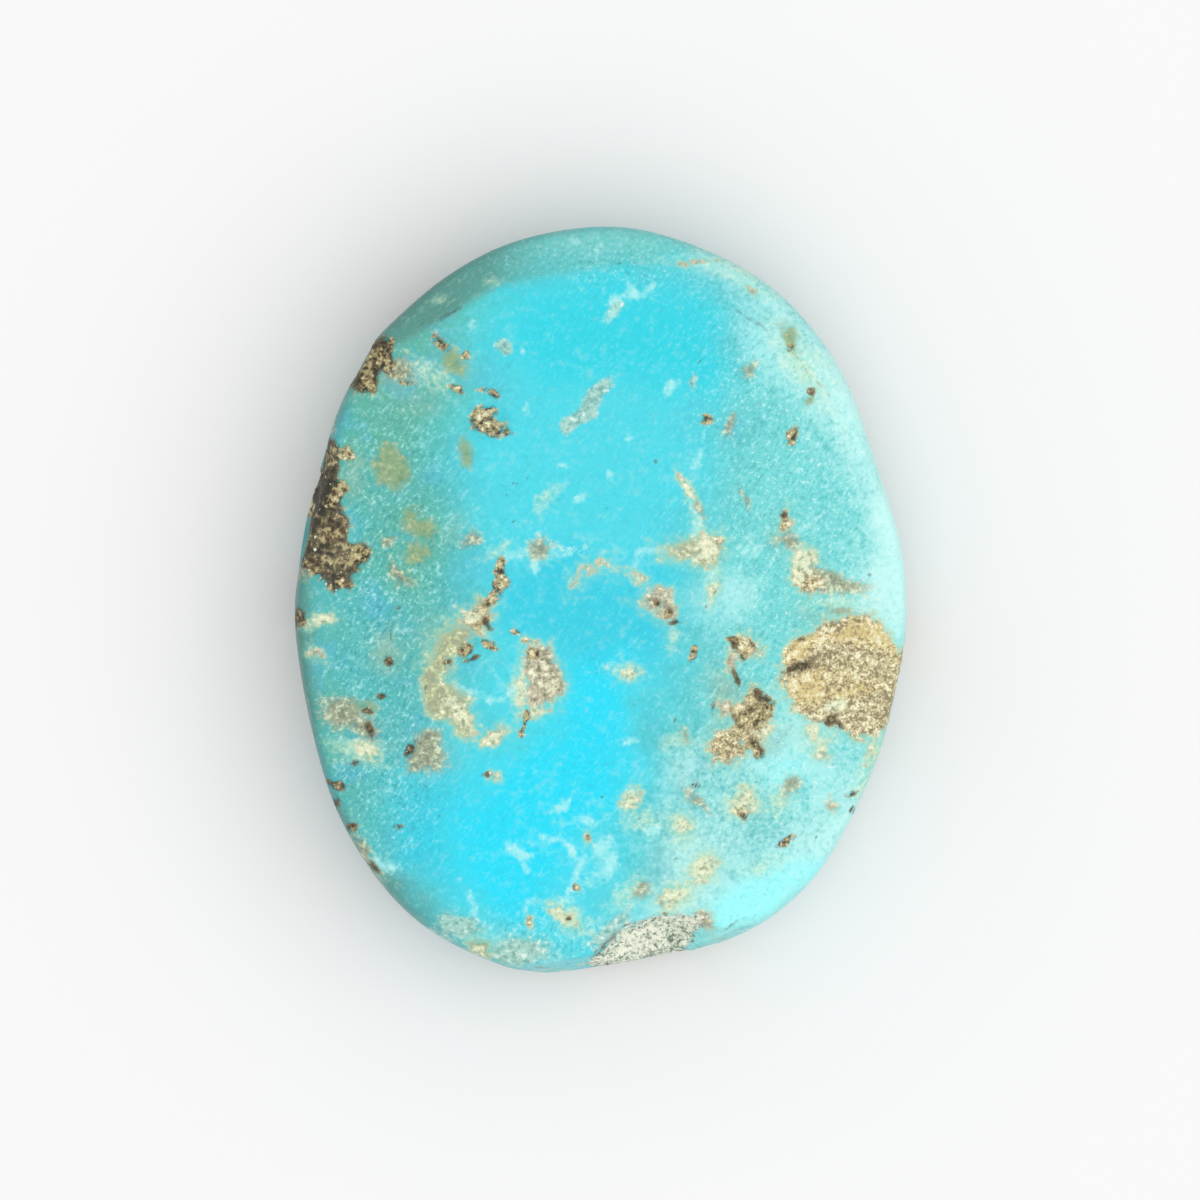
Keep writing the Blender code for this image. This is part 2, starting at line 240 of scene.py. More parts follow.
BUFF_OUTLINES = (
    # the brownish stain below the elbow
    (
        (-7.75, -6.15), (-7.33, -5.55), (-6.87, -5.12), (-6.3, -5.2), (-6.1, -6.05), (-6.3, -6.75),
        (-7.05, -6.62), (-7.8, -6.7),
    ),
    # right of the cream heart
    (
        (7.7, 0.9), (8.4, 1.25), (9.0, 1.15), (9.9, 1.0), (10.1, 0.55), (9.3, 0.25), (8.2, 0.05),
    ),
)

OLIVE = (
    (-9.3, -4.25, 0.44, 0.2, 10), (-5.3, 5.8, 0.38, 0.22, 84), (-7.5, 3.2, 0.42, 0.28, 80),
    (-7.1, 2.8, 0.5, 0.36, 0), (-7.25, 1.86, 0.42, 0.4, 0), (8.3, 7.92, 0.28, 0.2, 80),
    (7.5, 10.4, 0.5, 0.24, -60), (-5.75, 9.45, 0.5, 0.42, -30), (-4.75, -13.8, 0.46, 0.3, -24),
)
OLIVE_OUTLINES = (
    # the egg on the left
    (
        (-8.52, 6.3), (-8.15, 6.15), (-7.85, 5.5), (-7.62, 4.75), (-8.2, 4.45), (-8.9, 4.65),
        (-8.8, 5.5),
    ),
)

# Straw-coloured matrix, thin enough to let the stone show
STRAW = (
    (-5.85, -1.6, 0.85, 0.5, 38), (-6.4, -2.35, 0.55, 0.44, -60), (-6.65, -3.0, 0.55, 0.36, -70),
    (3.45, 1.95, 0.8, 0.36, 8), (4.2, 1.9, 0.6, 0.5, 0), (-4.3, -5.25, 0.4, 0.26, 20),
    (-4.55, -0.2, 0.3, 0.34, 60),
)
STRAW_OUTLINES = (
    # the elbow below the middle
    (
        (-6.95, -3.3), (-6.3, -3.2), (-5.7, -3.6), (-5.15, -4.0), (-4.95, -5.0), (-5.2, -5.6),
        (-5.9, -4.75), (-6.9, -4.3),
    ),
)

# Chalky stains, paler than the stone round them
CHALK = (
    (3.1, -9.1, 0.8, 0.56, -58), (3.2, -11.7, 1.0, 0.7, 50), (4.0, -10.6, 0.8, 0.6, 60),
    (5.7, -8.0, 0.8, 0.76, 0), (7.1, -8.0, 0.8, 0.44, 56), (10.4, -7.3, 0.7, 0.34, 55),
    (6.5, -10.6, 0.7, 0.28, 22), (9.6, -0.25, 1.2, 0.46, -8), (9.9, 0.6, 0.8, 0.4, -8),
    (1.6, -8.7, 0.7, 0.4, 0), (8.7, -5.6, 0.7, 0.56, 80), (11.3, -6.2, 1.0, 0.46, 66),
    (8.1, 9.3, 1.9, 0.66, -52), (5.6, 12.8, 1.8, 0.34, -22), (-2.1, 3.9, 0.62, 0.28, 50),
    (-6.4, 12.05, 0.26, 0.14, 30), (-4.4, 12.6, 0.34, 0.18, 10), (3.02, -1.5, 0.4, 0.26, 60),
    (3.75, 3.0, 1.2, 0.24, -78), (4.42, 0.6, 0.8, 0.26, 80), (-3.4, -13.9, 1.4, 0.5, -4),
    (-5.1, -13.5, 0.8, 0.44, -24), (0.85, -2.75, 0.62, 0.22, -12), (-1.3, -12.4, 1.0, 0.44, -30),
    (1.2, -11.6, 0.8, 0.5, 40), (-3.15, -3.6, 1.0, 0.34, 84), (-4.05, 1.9, 0.6, 0.24, 20),
    (-2.4, 1.8, 0.5, 0.44, 60), (-9.6, -6.0, 1.0, 0.4, -10), (-9.0, -10.4, 0.8, 0.44, -50),
    (-6.9, 8.9, 1.0, 0.46, -20), (2.6, -5.6, 0.3, 0.3, 0),
)

CREAM = (
    (-4.3, -5.32, 0.4, 0.22, 20), (-3.05, -3.7, 0.7, 0.12, 82), (-2.45, -4.4, 0.4, 0.18, 10),
    (1.12, -2.86, 0.26, 0.14, 10), (1.4, 0.88, 0.34, 0.14, -14), (-0.1, 1.28, 0.46, 0.16, 40),
    (4.46, 0.32, 0.42, 0.17, 78), (4.25, 2.02, 0.54, 0.42, 50), (3.5, 1.86, 0.6, 0.2, 0),
    (3.95, 1.5, 0.34, 0.24, 0), (-5.9, -3.95, 0.44, 0.18, -30), (-5.4, -4.6, 0.6, 0.34, -62),
    (-5.05, -0.7, 0.36, 0.26, 10), (9.42, -4.22, 0.56, 0.28, -6), (8.52, -5.2, 0.34, 0.24, -60),
    (8.9, -5.9, 0.46, 0.2, 84), (11.0, -5.9, 0.46, 0.18, 70), (6.62, -5.02, 0.36, 0.16, 20),
    (5.75, -7.95, 0.46, 0.46, 0), (4.1, -10.6, 0.5, 0.42, 60), (3.2, -9.0, 0.34, 0.26, -50),
    (3.05, -11.75, 0.56, 0.3, 40), (-4.08, -7.04, 0.2, 0.16, 0), (-11.15, -0.72, 0.52, 0.22, 20),
    (-9.25, -6.0, 0.34, 0.16, -12), (-4.7, -13.9, 0.34, 0.22, -24), (-1.5, -12.4, 0.5, 0.2, -30),
    (1.2, -7.9, 0.4, 0.24, 50), (3.52, 4.4, 0.42, 0.12, -65),
)
CREAM_OUTLINES = (
    # the heart on the right
    (
        (7.6, 1.85), (8.05, 2.0), (8.45, 2.05), (8.7, 1.5), (8.4, 1.05), (8.0, 0.45), (7.65, 0.6),
        (7.72, 1.2),
    ),
)

PINK = (
    (2.0, -0.05, 0.44, 0.34, -20), (2.65, -0.3, 0.44, 0.3, -60), (2.35, 0.22, 0.36, 0.16, 0),
    (-0.68, 0.8, 0.56, 0.36, 60), (-0.8, 0.2, 0.34, 0.26, 80), (-11.05, -2.25, 0.26, 0.12, -34),
    (5.0, -4.32, 0.3, 0.22, 0), (3.2, -5.4, 0.28, 0.16, -60), (5.3, -2.5, 0.34, 0.22, 80),
    (9.04, -8.22, 0.26, 0.24, 0), (4.05, 13.42, 0.6, 0.04, 2), (6.0, 12.28, 0.2, 0.1, -10),
    (4.25, -12.75, 0.36, 0.28, -60),
)
PINK_OUTLINES = (
    # in the middle of the face
    (
        (-3.0, -2.2), (-2.75, -1.85), (-2.1, -1.8), (-1.9, -2.5), (-1.4, -3.2), (-1.65, -3.75),
        (-2.1, -4.1), (-2.5, -4.35), (-2.85, -4.1), (-2.8, -3.4),
    ),
    (
        (-1.15, 0.95), (-0.65, 1.25), (0.15, 1.6), (0.1, 1.15), (-0.35, 0.6), (-0.75, -0.1),
        (-1.05, 0.3),
    ),
)

PALE = (
    (0.7, 11.95, 0.4, 0.22, 20), (1.3, 12.05, 0.3, 0.14, 40), (0.5, 11.4, 0.3, 0.18, 50),
    (0.05, 14.02, 0.3, 0.12, 62), (-0.9, 14.28, 0.26, 0.14, 0), (2.72, 8.38, 0.34, 0.15, 34),
    (0.44, 4.9, 0.17, 0.17, 0), (-1.2, 1.92, 0.34, 0.14, 16), (-2.45, 1.35, 0.2, 0.4, 0),
    (1.6, 1.88, 0.2, 0.18, 0), (-5.0, 10.91, 0.16, 0.12, 0), (-2.92, 9.76, 0.1, 0.09, 0),
    (-1.45, 5.5, 0.24, 0.1, 10), (-0.8, 4.1, 0.22, 0.18, 20), (-2.9, 7.6, 0.2, 0.14, 40),
    (1.26, 6.48, 0.16, 0.12, 0), (-6.48, 1.1, 0.13, 0.08, 60), (-1.6, -8.3, 0.22, 0.16, 20),
    (-0.5, -8.8, 0.5, 0.22, -20), (-1.08, -9.86, 0.26, 0.2, 60), (0.2, -9.9, 0.6, 0.3, 60),
    (1.95, -9.1, 0.4, 0.26, 40), (-3.3, -9.95, 0.44, 0.13, -30), (-2.9, -12.0, 0.3, 0.12, 50),
    (-0.9, -11.45, 0.4, 0.16, 50), (0.3, -10.5, 0.6, 0.24, 50), (-5.5, -11.2, 0.12, 0.1, 0),
    (-8.5, -10.4, 0.6, 0.24, -30), (8.8, -6.9, 0.8, 0.46, -40), (1.1, -5.5, 0.34, 0.16, 0),
    (1.2, -7.6, 0.16, 0.14, 0), (8.7, -8.0, 0.6, 0.4, 40),
)
# Grey-green film, and milky patches of it
FILM = (
    (-3.72, 9.95, 0.36, 0.3, -50), (0.6, 11.55, 0.4, 0.26, 50), (3.65, 8.62, 0.34, 0.16, 84),
    (-5.6, -12.9, 0.9, 0.46, -10), (-3.1, -13.9, 1.1, 0.46, -4), (0.4, -13.05, 0.9, 0.5, 40),
    (-2.4, 2.0, 0.36, 0.44, 0),
)
FILM_OUTLINES = (
    # the sliver
    (
        (-1.45, 6.7), (-1.5, 7.0), (-0.75, 7.9), (-0.15, 8.55), (0.45, 8.8), (0.62, 8.4),
        (0.22, 7.85), (-0.15, 7.15), (-0.7, 6.8), (-1.05, 6.4),
    ),
)
# A round island in the blue, with a pale ring round it: its middle and radius
ISLAND = (-4.28, -3.22, 0.78)

# Pale veins and dark cracks, as rows of points, with half the width of each
VEINS = (
    (0.14, (-3.9, 1.5), (-3.1, 1.85), (-2.45, 2.05), (-1.85, 1.85), (-1.2, 1.92)),
    (0.09, (-2.45, 2.05), (-2.5, 2.6)),
    (0.1, (1.35, 1.45), (1.6, 1.98), (2.0, 2.0), (2.75, 1.9)),
    (0.09, (3.45, 4.6), (3.62, 4.0), (3.87, 3.25), (3.65, 2.55)),
    (0.08, (4.0, 5.95), (3.75, 5.3)),
    (0.08, (4.25, 1.2), (4.5, 0.8), (4.45, 0.25), (4.2, -0.3)),
    (0.08, (-4.4, -4.02), (-3.8, -4.0), (-3.33, -3.5)),
    (0.08, (-4.95, -3.65), (-5.7, -3.45)),
    (0.1, (-3.6, -9.82), (-3.15, -10.05), (-2.8, -10.7)),
    (0.1, (-2.3, -9.35), (-1.6, -9.5), (-1.05, -9.95)),
    (0.1, (-0.65, -10.2), (-1.05, -11.2), (-1.45, -12.0)),
    (0.1, (-5.2, -11.6), (-5.0, -12.4)),
    (0.1, (1.2, 12.4), (1.6, 12.0), (2.1, 12.5)),
    (0.1, (5.62, 1.75), (6.1, 2.5)),
    (0.08, (5.5, 2.05), (5.8, 2.5)),
    (0.08, (6.0, 1.7), (6.3, 2.15)),
    (0.09, (7.45, 2.4), (8.1, 2.85), (8.75, 3.25)),
    (0.12, (3.9, 13.3), (5.1, 13.0), (6.2, 12.3), (7.2, 11.3)),
    (0.12, (7.6, 10.3), (8.6, 9.2), (9.4, 8.1), (10.2, 6.6), (10.8, 5.0)),
)
CRACK_LINES = (
    (0.02, (-8.6, 10.1), (-7.7, 10.7), (-6.7, 11.15)),
    (0.07, (-6.3, 11.12), (-5.6, 11.58)),
    (0.0, (-4.6, 12.15), (-3.2, 12.7), (-2.0, 12.95)),
    (0.05, (5.4, 11.45), (6.2, 10.95), (7.0, 10.55)),
    (0.06, (7.5, 10.0), (8.4, 8.85), (9.2, 8.1), (9.9, 6.8)),
    (0.04, (4.35, -12.75), (4.9, -13.05), (5.75, -12.55)),
    (0.07, (-0.3, -14.1), (0.35, -13.5), (0.95, -13.0)),
)
# Short cracks and dark specks, as blots
CRACKS = (
    (-2.84, 4.9, 0.09, 0.07, 0), (-3.3, 4.57, 0.2, 0.08, 14), (-3.76, 4.46, 0.08, 0.07, 0),
    (-3.72, 4.12, 0.09, 0.08, 0), (-3.42, 3.14, 0.1, 0.06, 0), (2.22, 5.5, 0.1, 0.08, 0),
    (0.28, 3.62, 0.1, 0.06, 30), (4.0, 9.42, 0.2, 0.05, 50), (10.74, 0.96, 0.12, 0.1, 0),
    (8.56, -9.42, 0.09, 0.08, 0), (0.04, -7.8, 0.09, 0.08, 0), (1.8, -7.98, 0.1, 0.08, 0),
    (1.58, -8.66, 0.14, 0.06, 30), (0.8, 13.33, 0.12, 0.07, 20), (1.42, 13.38, 0.08, 0.06, 0),
    (-0.42, 13.42, 0.12, 0.06, 20), (0.05, -13.92, 0.4, 0.07, 36), (-7.96, -0.24, 0.13, 0.08, 10),
    (-8.3, -1.3, 0.6, 0.05, 86), (-6.35, -8.55, 0.1, 0.08, 0), (4.0, -6.8, 0.09, 0.07, 0),
    (4.2, -0.28, 0.12, 0.07, 70), (4.55, 0.3, 0.18, 0.06, 70), (-10.35, -2.0, 0.12, 0.06, 0),
    (3.0, -4.78, 0.1, 0.08, 60), (-6.87, -3.46, 0.12, 0.09, 60), (4.9, -9.75, 0.09, 0.07, 0),
    (3.0, -10.25, 0.12, 0.08, 30), (1.58, -10.75, 0.12, 0.06, 0),
)

# The blues down the middle of the face, as outlines with soft edges
SKY_OUTLINES = (
    (
        (-2.4, 13.0), (-4.2, 11.9), (-4.7, 10.0), (-4.2, 8.2), (-5.0, 5.6), (-4.6, 3.4),
        (-4.6, 1.4), (-4.2, -0.8), (-4.9, -2.4), (-5.1, -3.8), (-4.6, -5.0), (-6.0, -6.4),
        (-7.2, -8.0), (-7.2, -10.2), (-6.2, -12.2), (-4.2, -13.2), (-1.6, -13.2), (-0.6, -14.6),
        (0.4, -13.8), (0.4, -11.2), (0.9, -9.6), (1.2, -7.6), (1.4, -5.8), (2.3, -2.8), (3.2, -0.4),
        (3.0, 1.8), (3.2, 3.6), (3.3, 6.0), (4.2, 8.0), (4.9, 9.6), (4.6, 11.2), (3.4, 12.6),
        (0.5, 13.2),
    ),
)
CYAN_OUTLINES = (
    (
        (-3.6, 11.8), (-3.9, 9.8), (-1.8, 8.9), (0.4, 9.2), (2.2, 8.7), (4.0, 9.0), (4.8, 10.2),
        (4.0, 11.9), (1.0, 12.6), (-2.0, 12.5),
    ),
)
BLUE_OUTLINES = (
    (
        (-3.6, 1.3), (-1.4, 1.7), (0.6, 0.9), (2.6, 0.9), (3.0, -0.6), (2.2, -2.0), (0.6, -3.0),
        (-1.2, -3.0), (-2.0, -1.6), (-3.6, -0.6),
    ),
    (
        (-7.2, -7.6), (-5.8, -7.2), (-5.4, -9.6), (-6.2, -11.6), (-7.8, -10.6),
    ),
)
DEEP_OUTLINES = (
    (
        (-1.4, -2.8), (0.4, -2.6), (1.1, -4.2), (1.0, -6.2), (0.3, -8.2), (-0.8, -9.2),
        (-1.2, -10.6), (-2.0, -12.2), (-4.0, -12.6), (-5.4, -11.6), (-6.0, -9.4), (-4.9, -7.8),
        (-3.7, -6.6), (-2.6, -5.2), (-1.6, -4.4),
    ),
)

# Soft zones of the turquoise: middle, half length, half width, turn, and strength
AQUA_ZONES = (
    (9.4, 1.0, 18.0, 7.2, 90, 1.0), (2.0, 14.0, 5.0, 1.0, 0, 0.7), (1.0, -12.6, 3.0, 2.2, 0, 0.8),
)
# Mint is chalky turquoise, and along the right rim and the bevels that face the key it is also
# painted light
MINT_AND_LIT_RIM_ZONES = (
    (9.6, 8.4, 3.6, 1.7, -50, 0.75), (6.4, 10.6, 1.8, 1.1, -40, 0.35),
    (12.0, 3.6, 5.4, 1.3, 96, 0.95), (4.8, -0.2, 1.5, 1.3, 60, 0.55),
    (9.6, 3.6, 3.0, 2.0, 80, 0.12), (7.6, -5.2, 2.2, 1.6, 20, 0.4), (11.2, -0.2, 1.6, 1.4, 90, 0.6),
    (10.4, -8.4, 4.2, 2.0, 60, 0.6), (6.8, -11.4, 3.6, 1.6, 35, 0.5),
    (6.0, -6.8, 3.2, 2.4, 60, 0.3), (3.2, -6.6, 1.6, 1.0, 80, 0.4),
    (3.6, -10.8, 2.6, 1.6, 60, 0.55), (5.4, 13.0, 3.4, 1.0, -28, 0.5),
    (-0.8, 14.2, 4.0, 0.9, 6, 0.45), (1.2, -12.8, 1.8, 1.0, 15, 0.5),
    (-3.6, -13.6, 2.6, 0.9, -14, 0.4),
)
GREEN_ZONES = (
    (-8.8, 7.6, 4.6, 2.6, 60, 0.85), (-7.6, 2.8, 3.2, 2.2, 80, 0.8),
    (-6.6, -2.4, 2.2, 1.8, 60, 0.6), (-10.4, -6.4, 4.2, 1.0, 105, 0.55),
    (-4.8, -13.4, 2.2, 0.8, -20, 0.6), (-10.8, -2.6, 3.0, 0.9, 90, 0.45),
    (9.3, -0.6, 1.4, 0.8, 0, 0.35), (-5.4, 10.8, 2.6, 1.1, 35, 1.1), (-5.0, 7.4, 1.8, 1.5, 0, 0.85),
)
# Painted shade: grey-green where the sides turn from the light, on the upper left bevel and down the
# left rim
BEVEL_SHADE_ZONES = ((-6.8, 11.6, 4.6, 1.9, 38, 1.0),)
RIM_SHADE_ZONES = (
    (-12.2, -2.4, 6.0, 0.9, 95, 0.95), (-10.0, -10.2, 4.6, 0.8, 125, 0.85),
    (-7.6, -12.3, 2.2, 0.6, 135, 0.4),
)
# A dark edge on the side away from the light: its bearing, its width, and how far round it goes
EDGE_BEARING = 168.0
EDGE_WIDTH = 0.26
EDGE_SPREAD = 0.35
# Two of the facets are the bevels that show as bands: how far from their edge the colour changes
BEVELS = FACETS[4:6]
BEVEL_FADE = 0.55
BEVEL_START = 0.6
# Pale golden parts of the large patch, the dark matrix and the break, and their darker ones
GOLD_ZONES = (
    (8.1, -1.8, 0.7, 0.4, 20, 0.7), (8.35, -3.45, 0.9, 0.6, 10, 0.8),
    (11.2, -1.6, 0.8, 0.5, -40, 0.6), (10.2, -3.6, 1.0, 0.4, 20, 0.6),
    (3.4, -12.9, 0.9, 0.5, 10, 1.0), (1.5, -13.3, 0.9, 0.5, 20, 0.6),
    (-10.2, 1.6, 0.8, 0.5, 10, 1.0), (-10.75, 2.7, 0.5, 0.4, 60, 0.8),
    (-10.8, 5.4, 0.6, 0.4, 70, 0.8), (10.0, -1.6, 0.9, 0.5, 0, 0.7),
)
BROWN_ZONES = (
    (8.2, -2.55, 1.1, 0.32, 20, 0.4), (9.4, -2.2, 1.0, 0.5, 0, 0.45),
    (9.2, -4.75, 1.0, 0.36, -12, 0.35), (11.1, -2.6, 0.5, 0.6, 0, 0.4),
    (10.8, -4.3, 0.9, 0.8, 0, 0.55), (-10.9, 4.2, 0.8, 0.7, 70, 0.8),
    (8.8, -1.1, 0.8, 0.24, 10, 0.6), (0.8, -14.4, 0.9, 0.3, 10, 0.4),
)
# Where the stone is grainy: its roughness is greater there, and white glints are painted on it
GRAIN_AND_GLINT_ZONES = (
    (-8.2, 3.0, 7.6, 3.0, 88, 0.8), (-8.6, -6.0, 5.2, 2.6, 100, 0.8), (8.2, 5.4, 8.2, 4.2, 95, 1.0),
    (7.6, -6.0, 6.6, 4.6, 80, 1.0), (-0.6, -13.4, 4.6, 1.2, 0, 0.8), (0.6, 13.6, 6.6, 1.2, 0, 0.55),
)
# Duller stone round the matrix, and the glassy blue-white of the lower right bevel
SMOKE_ZONES = (
    (5.1, -3.8, 1.5, 0.9, -65, 0.7), (4.9, -5.5, 1.0, 0.6, 0, 0.35),
    (-8.4, -2.0, 1.0, 0.6, 80, 0.75), (-9.8, 5.0, 1.2, 0.6, 80, 0.6),
    (-5.8, 2.9, 1.0, 0.5, 60, 0.4), (-7.0, 7.7, 0.9, 0.6, 0, 0.35),
    (-9.8, -4.8, 1.3, 0.7, -10, 0.6), (-6.9, -6.0, 1.3, 0.9, 10, 0.55),
    (7.2, 2.6, 0.9, 0.7, 80, 0.45), (8.8, -0.7, 1.3, 0.5, 0, 0.5), (7.0, -5.6, 1.0, 0.6, 20, 0.45),
    (-6.6, -1.2, 1.0, 0.6, 50, 0.45), (2.6, -0.6, 1.1, 0.6, -40, 0.4),
    (-8.6, 9.0, 1.5, 0.8, -30, 0.55), (-5.6, 9.4, 0.9, 0.6, -30, 0.4),
)
ICE_ZONES = (
    (6.0, -12.0, 2.8, 1.1, 24, 1.0), (7.4, -6.6, 1.3, 0.9, 20, 0.6),
    (9.2, -11.0, 1.6, 0.9, 45, 0.6),
)
# Where thin pale veins and milky wisps show
WISP_ZONES = (
    (-0.8, 1.6, 3.6, 0.9, 0, 1.0), (4.2, 1.6, 1.8, 1.6, 0, 0.8), (-4.2, -3.4, 1.5, 1.5, 0, 0.9),
    (-0.2, -9.6, 2.6, 1.9, 40, 1.0), (-3.4, -10.0, 1.6, 0.9, 0, 0.7), (2.4, -8.6, 1.8, 1.4, 0, 0.8),
    (1.2, 8.4, 2.8, 0.8, 10, 0.5), (-1.6, 4.2, 2.2, 1.4, 50, 0.7), (8.0, -6.8, 2.4, 1.6, 0, 0.8),
    (-9.4, -9.6, 2.6, 1.2, 120, 0.6), (7.8, 8.6, 3.0, 1.6, -50, 0.6),
    (-1.0, -13.2, 3.6, 1.0, 0, 0.8),
)

# Patches: how large a small one seems, how closely two run together, and the most that a depth can be
EASE = 0.3
RUN_TOGETHER = 0.05
DEEPEST = 3.0

# How places wander, as cell and distance of two noises and their seed: over the sides, where a patch
# runs down in tongues that begin this far below the table, and at the edges of each size of patch
TONGUES_BELOW = 1
TONGUES = (((3.0, 0.9), (1.2, 0.3)), 51)
RAGGED = (((1.1, 0.24), (0.45, 0.13)), 31)
SMALL = (((0.45, 0.1), (0.22, 0.05)), 41)
SOFT = (((3.0, 0.5), (1.1, 0.3)), 71)

# Pits of the matrix: their cell and depth, how far in from a patch's edge they reach that depth, and
# the grains that vary it, coarse and fine: how many to a cell, how much, and the seed
PIT_CELL = 0.26
PIT_DEPTH = 0.05
PIT_REACH = 0.15
PIT_GRAINS = ((1, 0.8, 81), (2, 0.6, 82))
PITTED = ("pyrite", "dark", "tan", "cream", "pink")

# What the mesh keeps for the material, by threes: depths inside the patches, and the soft zones
STORED = {
    "ore": ("pyrite", "dark", "tan"),
    "stain": ("olive", "cream", "pink"),
    "thin": ("straw", "chalk", "buff"),
    "vein": ("pale", "crack", "ring"),
    "blues": ("sky", "cyan", "blue"),
    "tints": ("deep", "mint", "green"),
    "edges": ("grey", "bevel", "edge"),
    "finish": ("grain", "wisp", "aqua"),
    "parts": ("film", "broken", "gilt"),
    "lines": ("vein", "smoke", "ice"),
}

# The finish: how far the crystals of the break are drawn out upwards, the height of the fine grain,
# how much light the stone throws back, and where the three tones of a grain begin and end
BREAK_FLATNESS = 0.35
GRAIN_HEIGHT = 0.1
STONE_SHEEN = 0.22
DARK_GRAIN = (-0.30, 0.02)
LIGHT_GRAIN = (0.0, 0.34)

NOISE_PRIMES = (73856093, 19349663, 83492791)
SEED_PRIME = 2654435761
MIXING_STAGES = ((15, 2246822519), (13, 3266489917))
NOISE_SPAN = 2**32

# How bright the studio light makes a level white surface: colours below are read as they look in it
STUDIO_LIGHT = 1.3
FLOOR_ROUGHNESS = 0.9
NEAREST_SEEN = 10 * MM


def surface_colour(red, green, blue):
    """The linear colour of a level surface that looks like this screen colour in the studio."""
    screen = np.array((red, green, blue)) / 255
    linear = np.where(screen <= 0.04045, screen / 12.92, ((screen + 0.055) / 1.055) ** 2.4)
    return tuple(float(c) for c in np.minimum(linear / STUDIO_LIGHT, 1))


def colour_property(name, description, *screen):
    """A colour that a user can change, given as it looks on screen."""
    colour = surface_colour(*screen)
    return FloatVectorProperty(
        name=name, description=description, subtype="COLOR", size=3, min=0, max=1, default=colour
    )


def length_property(name, description, default):
    """A length that a user can change, in metres."""
    return FloatProperty(
        name=name, description=description, default=default, unit="LENGTH", precision=5
    )


def angle_property(name, description, degrees):
    """An angle that a user can change."""
    return FloatProperty(
        name=name, description=description, default=math.radians(degrees), subtype="ANGLE"
    )


def strength_property(name, description, default):
    """A strength that a user can change, from 0 up."""
    return FloatProperty(name=name, description=description, default=default, min=0)


# The noise and the form


def lattice_noise(points, cell, seed):
    """Random heights from -1 to 1 on a cubic lattice of the given cell, joined smoothly."""
    scaled = points / cell
    base = np.floor(scaled).astype(np.int64)
    share = scaled - base
    share = share * share * (3 - 2 * share)
    total = np.zeros(len(points))
    for corner in product((0, 1), repeat=3):
        mixed = ((base + corner) @ np.array(NOISE_PRIMES) + seed * SEED_PRIME) % NOISE_SPAN
        for shift, factor in MIXING_STAGES:
            mixed = ((mixed ^ (mixed >> shift)) * factor) % NOISE_SPAN
        weight = np.prod(np.where(corner, share, 1 - share), axis=1)
        total += weight * (mixed / (NOISE_SPAN / 2) - 1)
    return total


def rim_radius(bearing, length, width):
    """The rim's distance from the middle: an ellipse's, and a bell curve for each swell or flat."""
    radius = 1 / np.hypot(np.cos(bearing) / (width / 2), np.sin(bearing) / (length / 2))
    for middle, spread, out in RIM_SWELLS:
        off = (bearing - math.radians(middle) + math.pi) % (2 * math.pi) - math.pi
        radius += out * np.exp(-0.5 * (off / math.radians(spread)) ** 2)
    return radius


def section(rise, fullness, count, reach):
    """Plan and height shares along a quarter of a superellipse, evenly spaced along its length."""
    angle = np.linspace(0, math.pi / 2, SECTION_SAMPLES)
    share = np.sin(angle) ** (2 / fullness)
    height = np.cos(angle) ** (2 / fullness)
    steps = np.hypot(np.diff(share) * reach, np.diff(height) * rise)
    length = np.concatenate(([0], np.cumsum(steps)))
    even = np.interp(np.linspace(0, length[-1], count + 1), length, angle)
    return np.sin(even) ** (2 / fullness), np.cos(even) ** (2 / fullness)


def turned(x, y, degrees):
    """Plan offsets, turned into the frame of a feature that is itself turned by so many degrees."""
    turn = math.radians(degrees)
    return x * math.cos(turn) + y * math.sin(turn), y * math.cos(turn) - x * math.sin(turn)


def scoop_share(points):
    """How far past the scoop's surface each point lies: its distance over the surface's, on one ray.

    A ray t*p meets the ellipsoid where |(t*p - c)/h| = 1, a quadratic in t. The nearer root is the
    broken surface. A ray that passes by gets 0.
    """
    halves = np.array(SCOOP_HALVES)
    ray = np.column_stack((*turned(points[:, 0], points[:, 1], SCOOP_TURN), points[:, 2])) / halves
    x, y, z = SCOOP_CENTRE
    middle = np.array((*turned(x, y, SCOOP_TURN), z)) / halves
    a = (ray**2).sum(1)
    b = ray @ middle
    inside = b**2 - a * (middle @ middle - 1)
    reach = b - np.sqrt(np.maximum(inside, 0))
    hit = (inside > 0) & (reach > 0)
    return np.where(hit, a / np.where(hit, reach, 1), 0)


def grind(points):
    """Draws points in towards the heart until none stands outside a facet or inside the scoop.

    Each facet's share is a point's distance along the normal over the facet's own distance, and the
    shares are joined by a high power, which leaves slightly worn edges between them.
    """
    total = 1 + scoop_share(points) ** CRISPNESS
    for bearing, tilt, edge in FACETS:
        turn, lean = math.radians(bearing), math.radians(tilt)
        slope, level = math.sin(lean), math.cos(lean)
        normal = np.array((slope * math.cos(turn), slope * math.sin(turn), level))
        distance = edge * slope + TABLE_RISE * level
        total += np.maximum(points @ normal / distance, 0) ** CRISPNESS
    return points / total[:, None] ** (1 / CRISPNESS)


def bell(points, x, y, half_length, half_width, turn):
    """1 in the middle of a patch, falling smoothly to 0 a little beyond its edge."""
    along, across = turned(points[:, 0] - x, points[:, 1] - y, turn)
    return np.exp(-((along / half_length) ** 2 + (across / half_width) ** 2) ** 1.5)


def ridges(points):
    """Heights from -1 to 1 of ridges that all run the same way, with finer grain on them."""
    along, across = turned(points[:, 0], points[:, 1], RIDGE_TURN)
    stretched = (along / RIDGE_LENGTH, across / RIDGE_PITCH, points[:, 2] / RIDGE_PITCH)
    coarse = lattice_noise(np.column_stack(stretched), 1.0, RIDGE_SEEDS[0])
    fine = lattice_noise(points, RIDGE_PITCH / 2, RIDGE_SEEDS[1])
    return (1 - FINE_SHARE) * coarse + FINE_SHARE * fine


def uneven(points, cell, share, seed):
    """1 on average, and more or less by a share of it from place to place."""
    return 1 + share * lattice_noise(points, cell, seed)


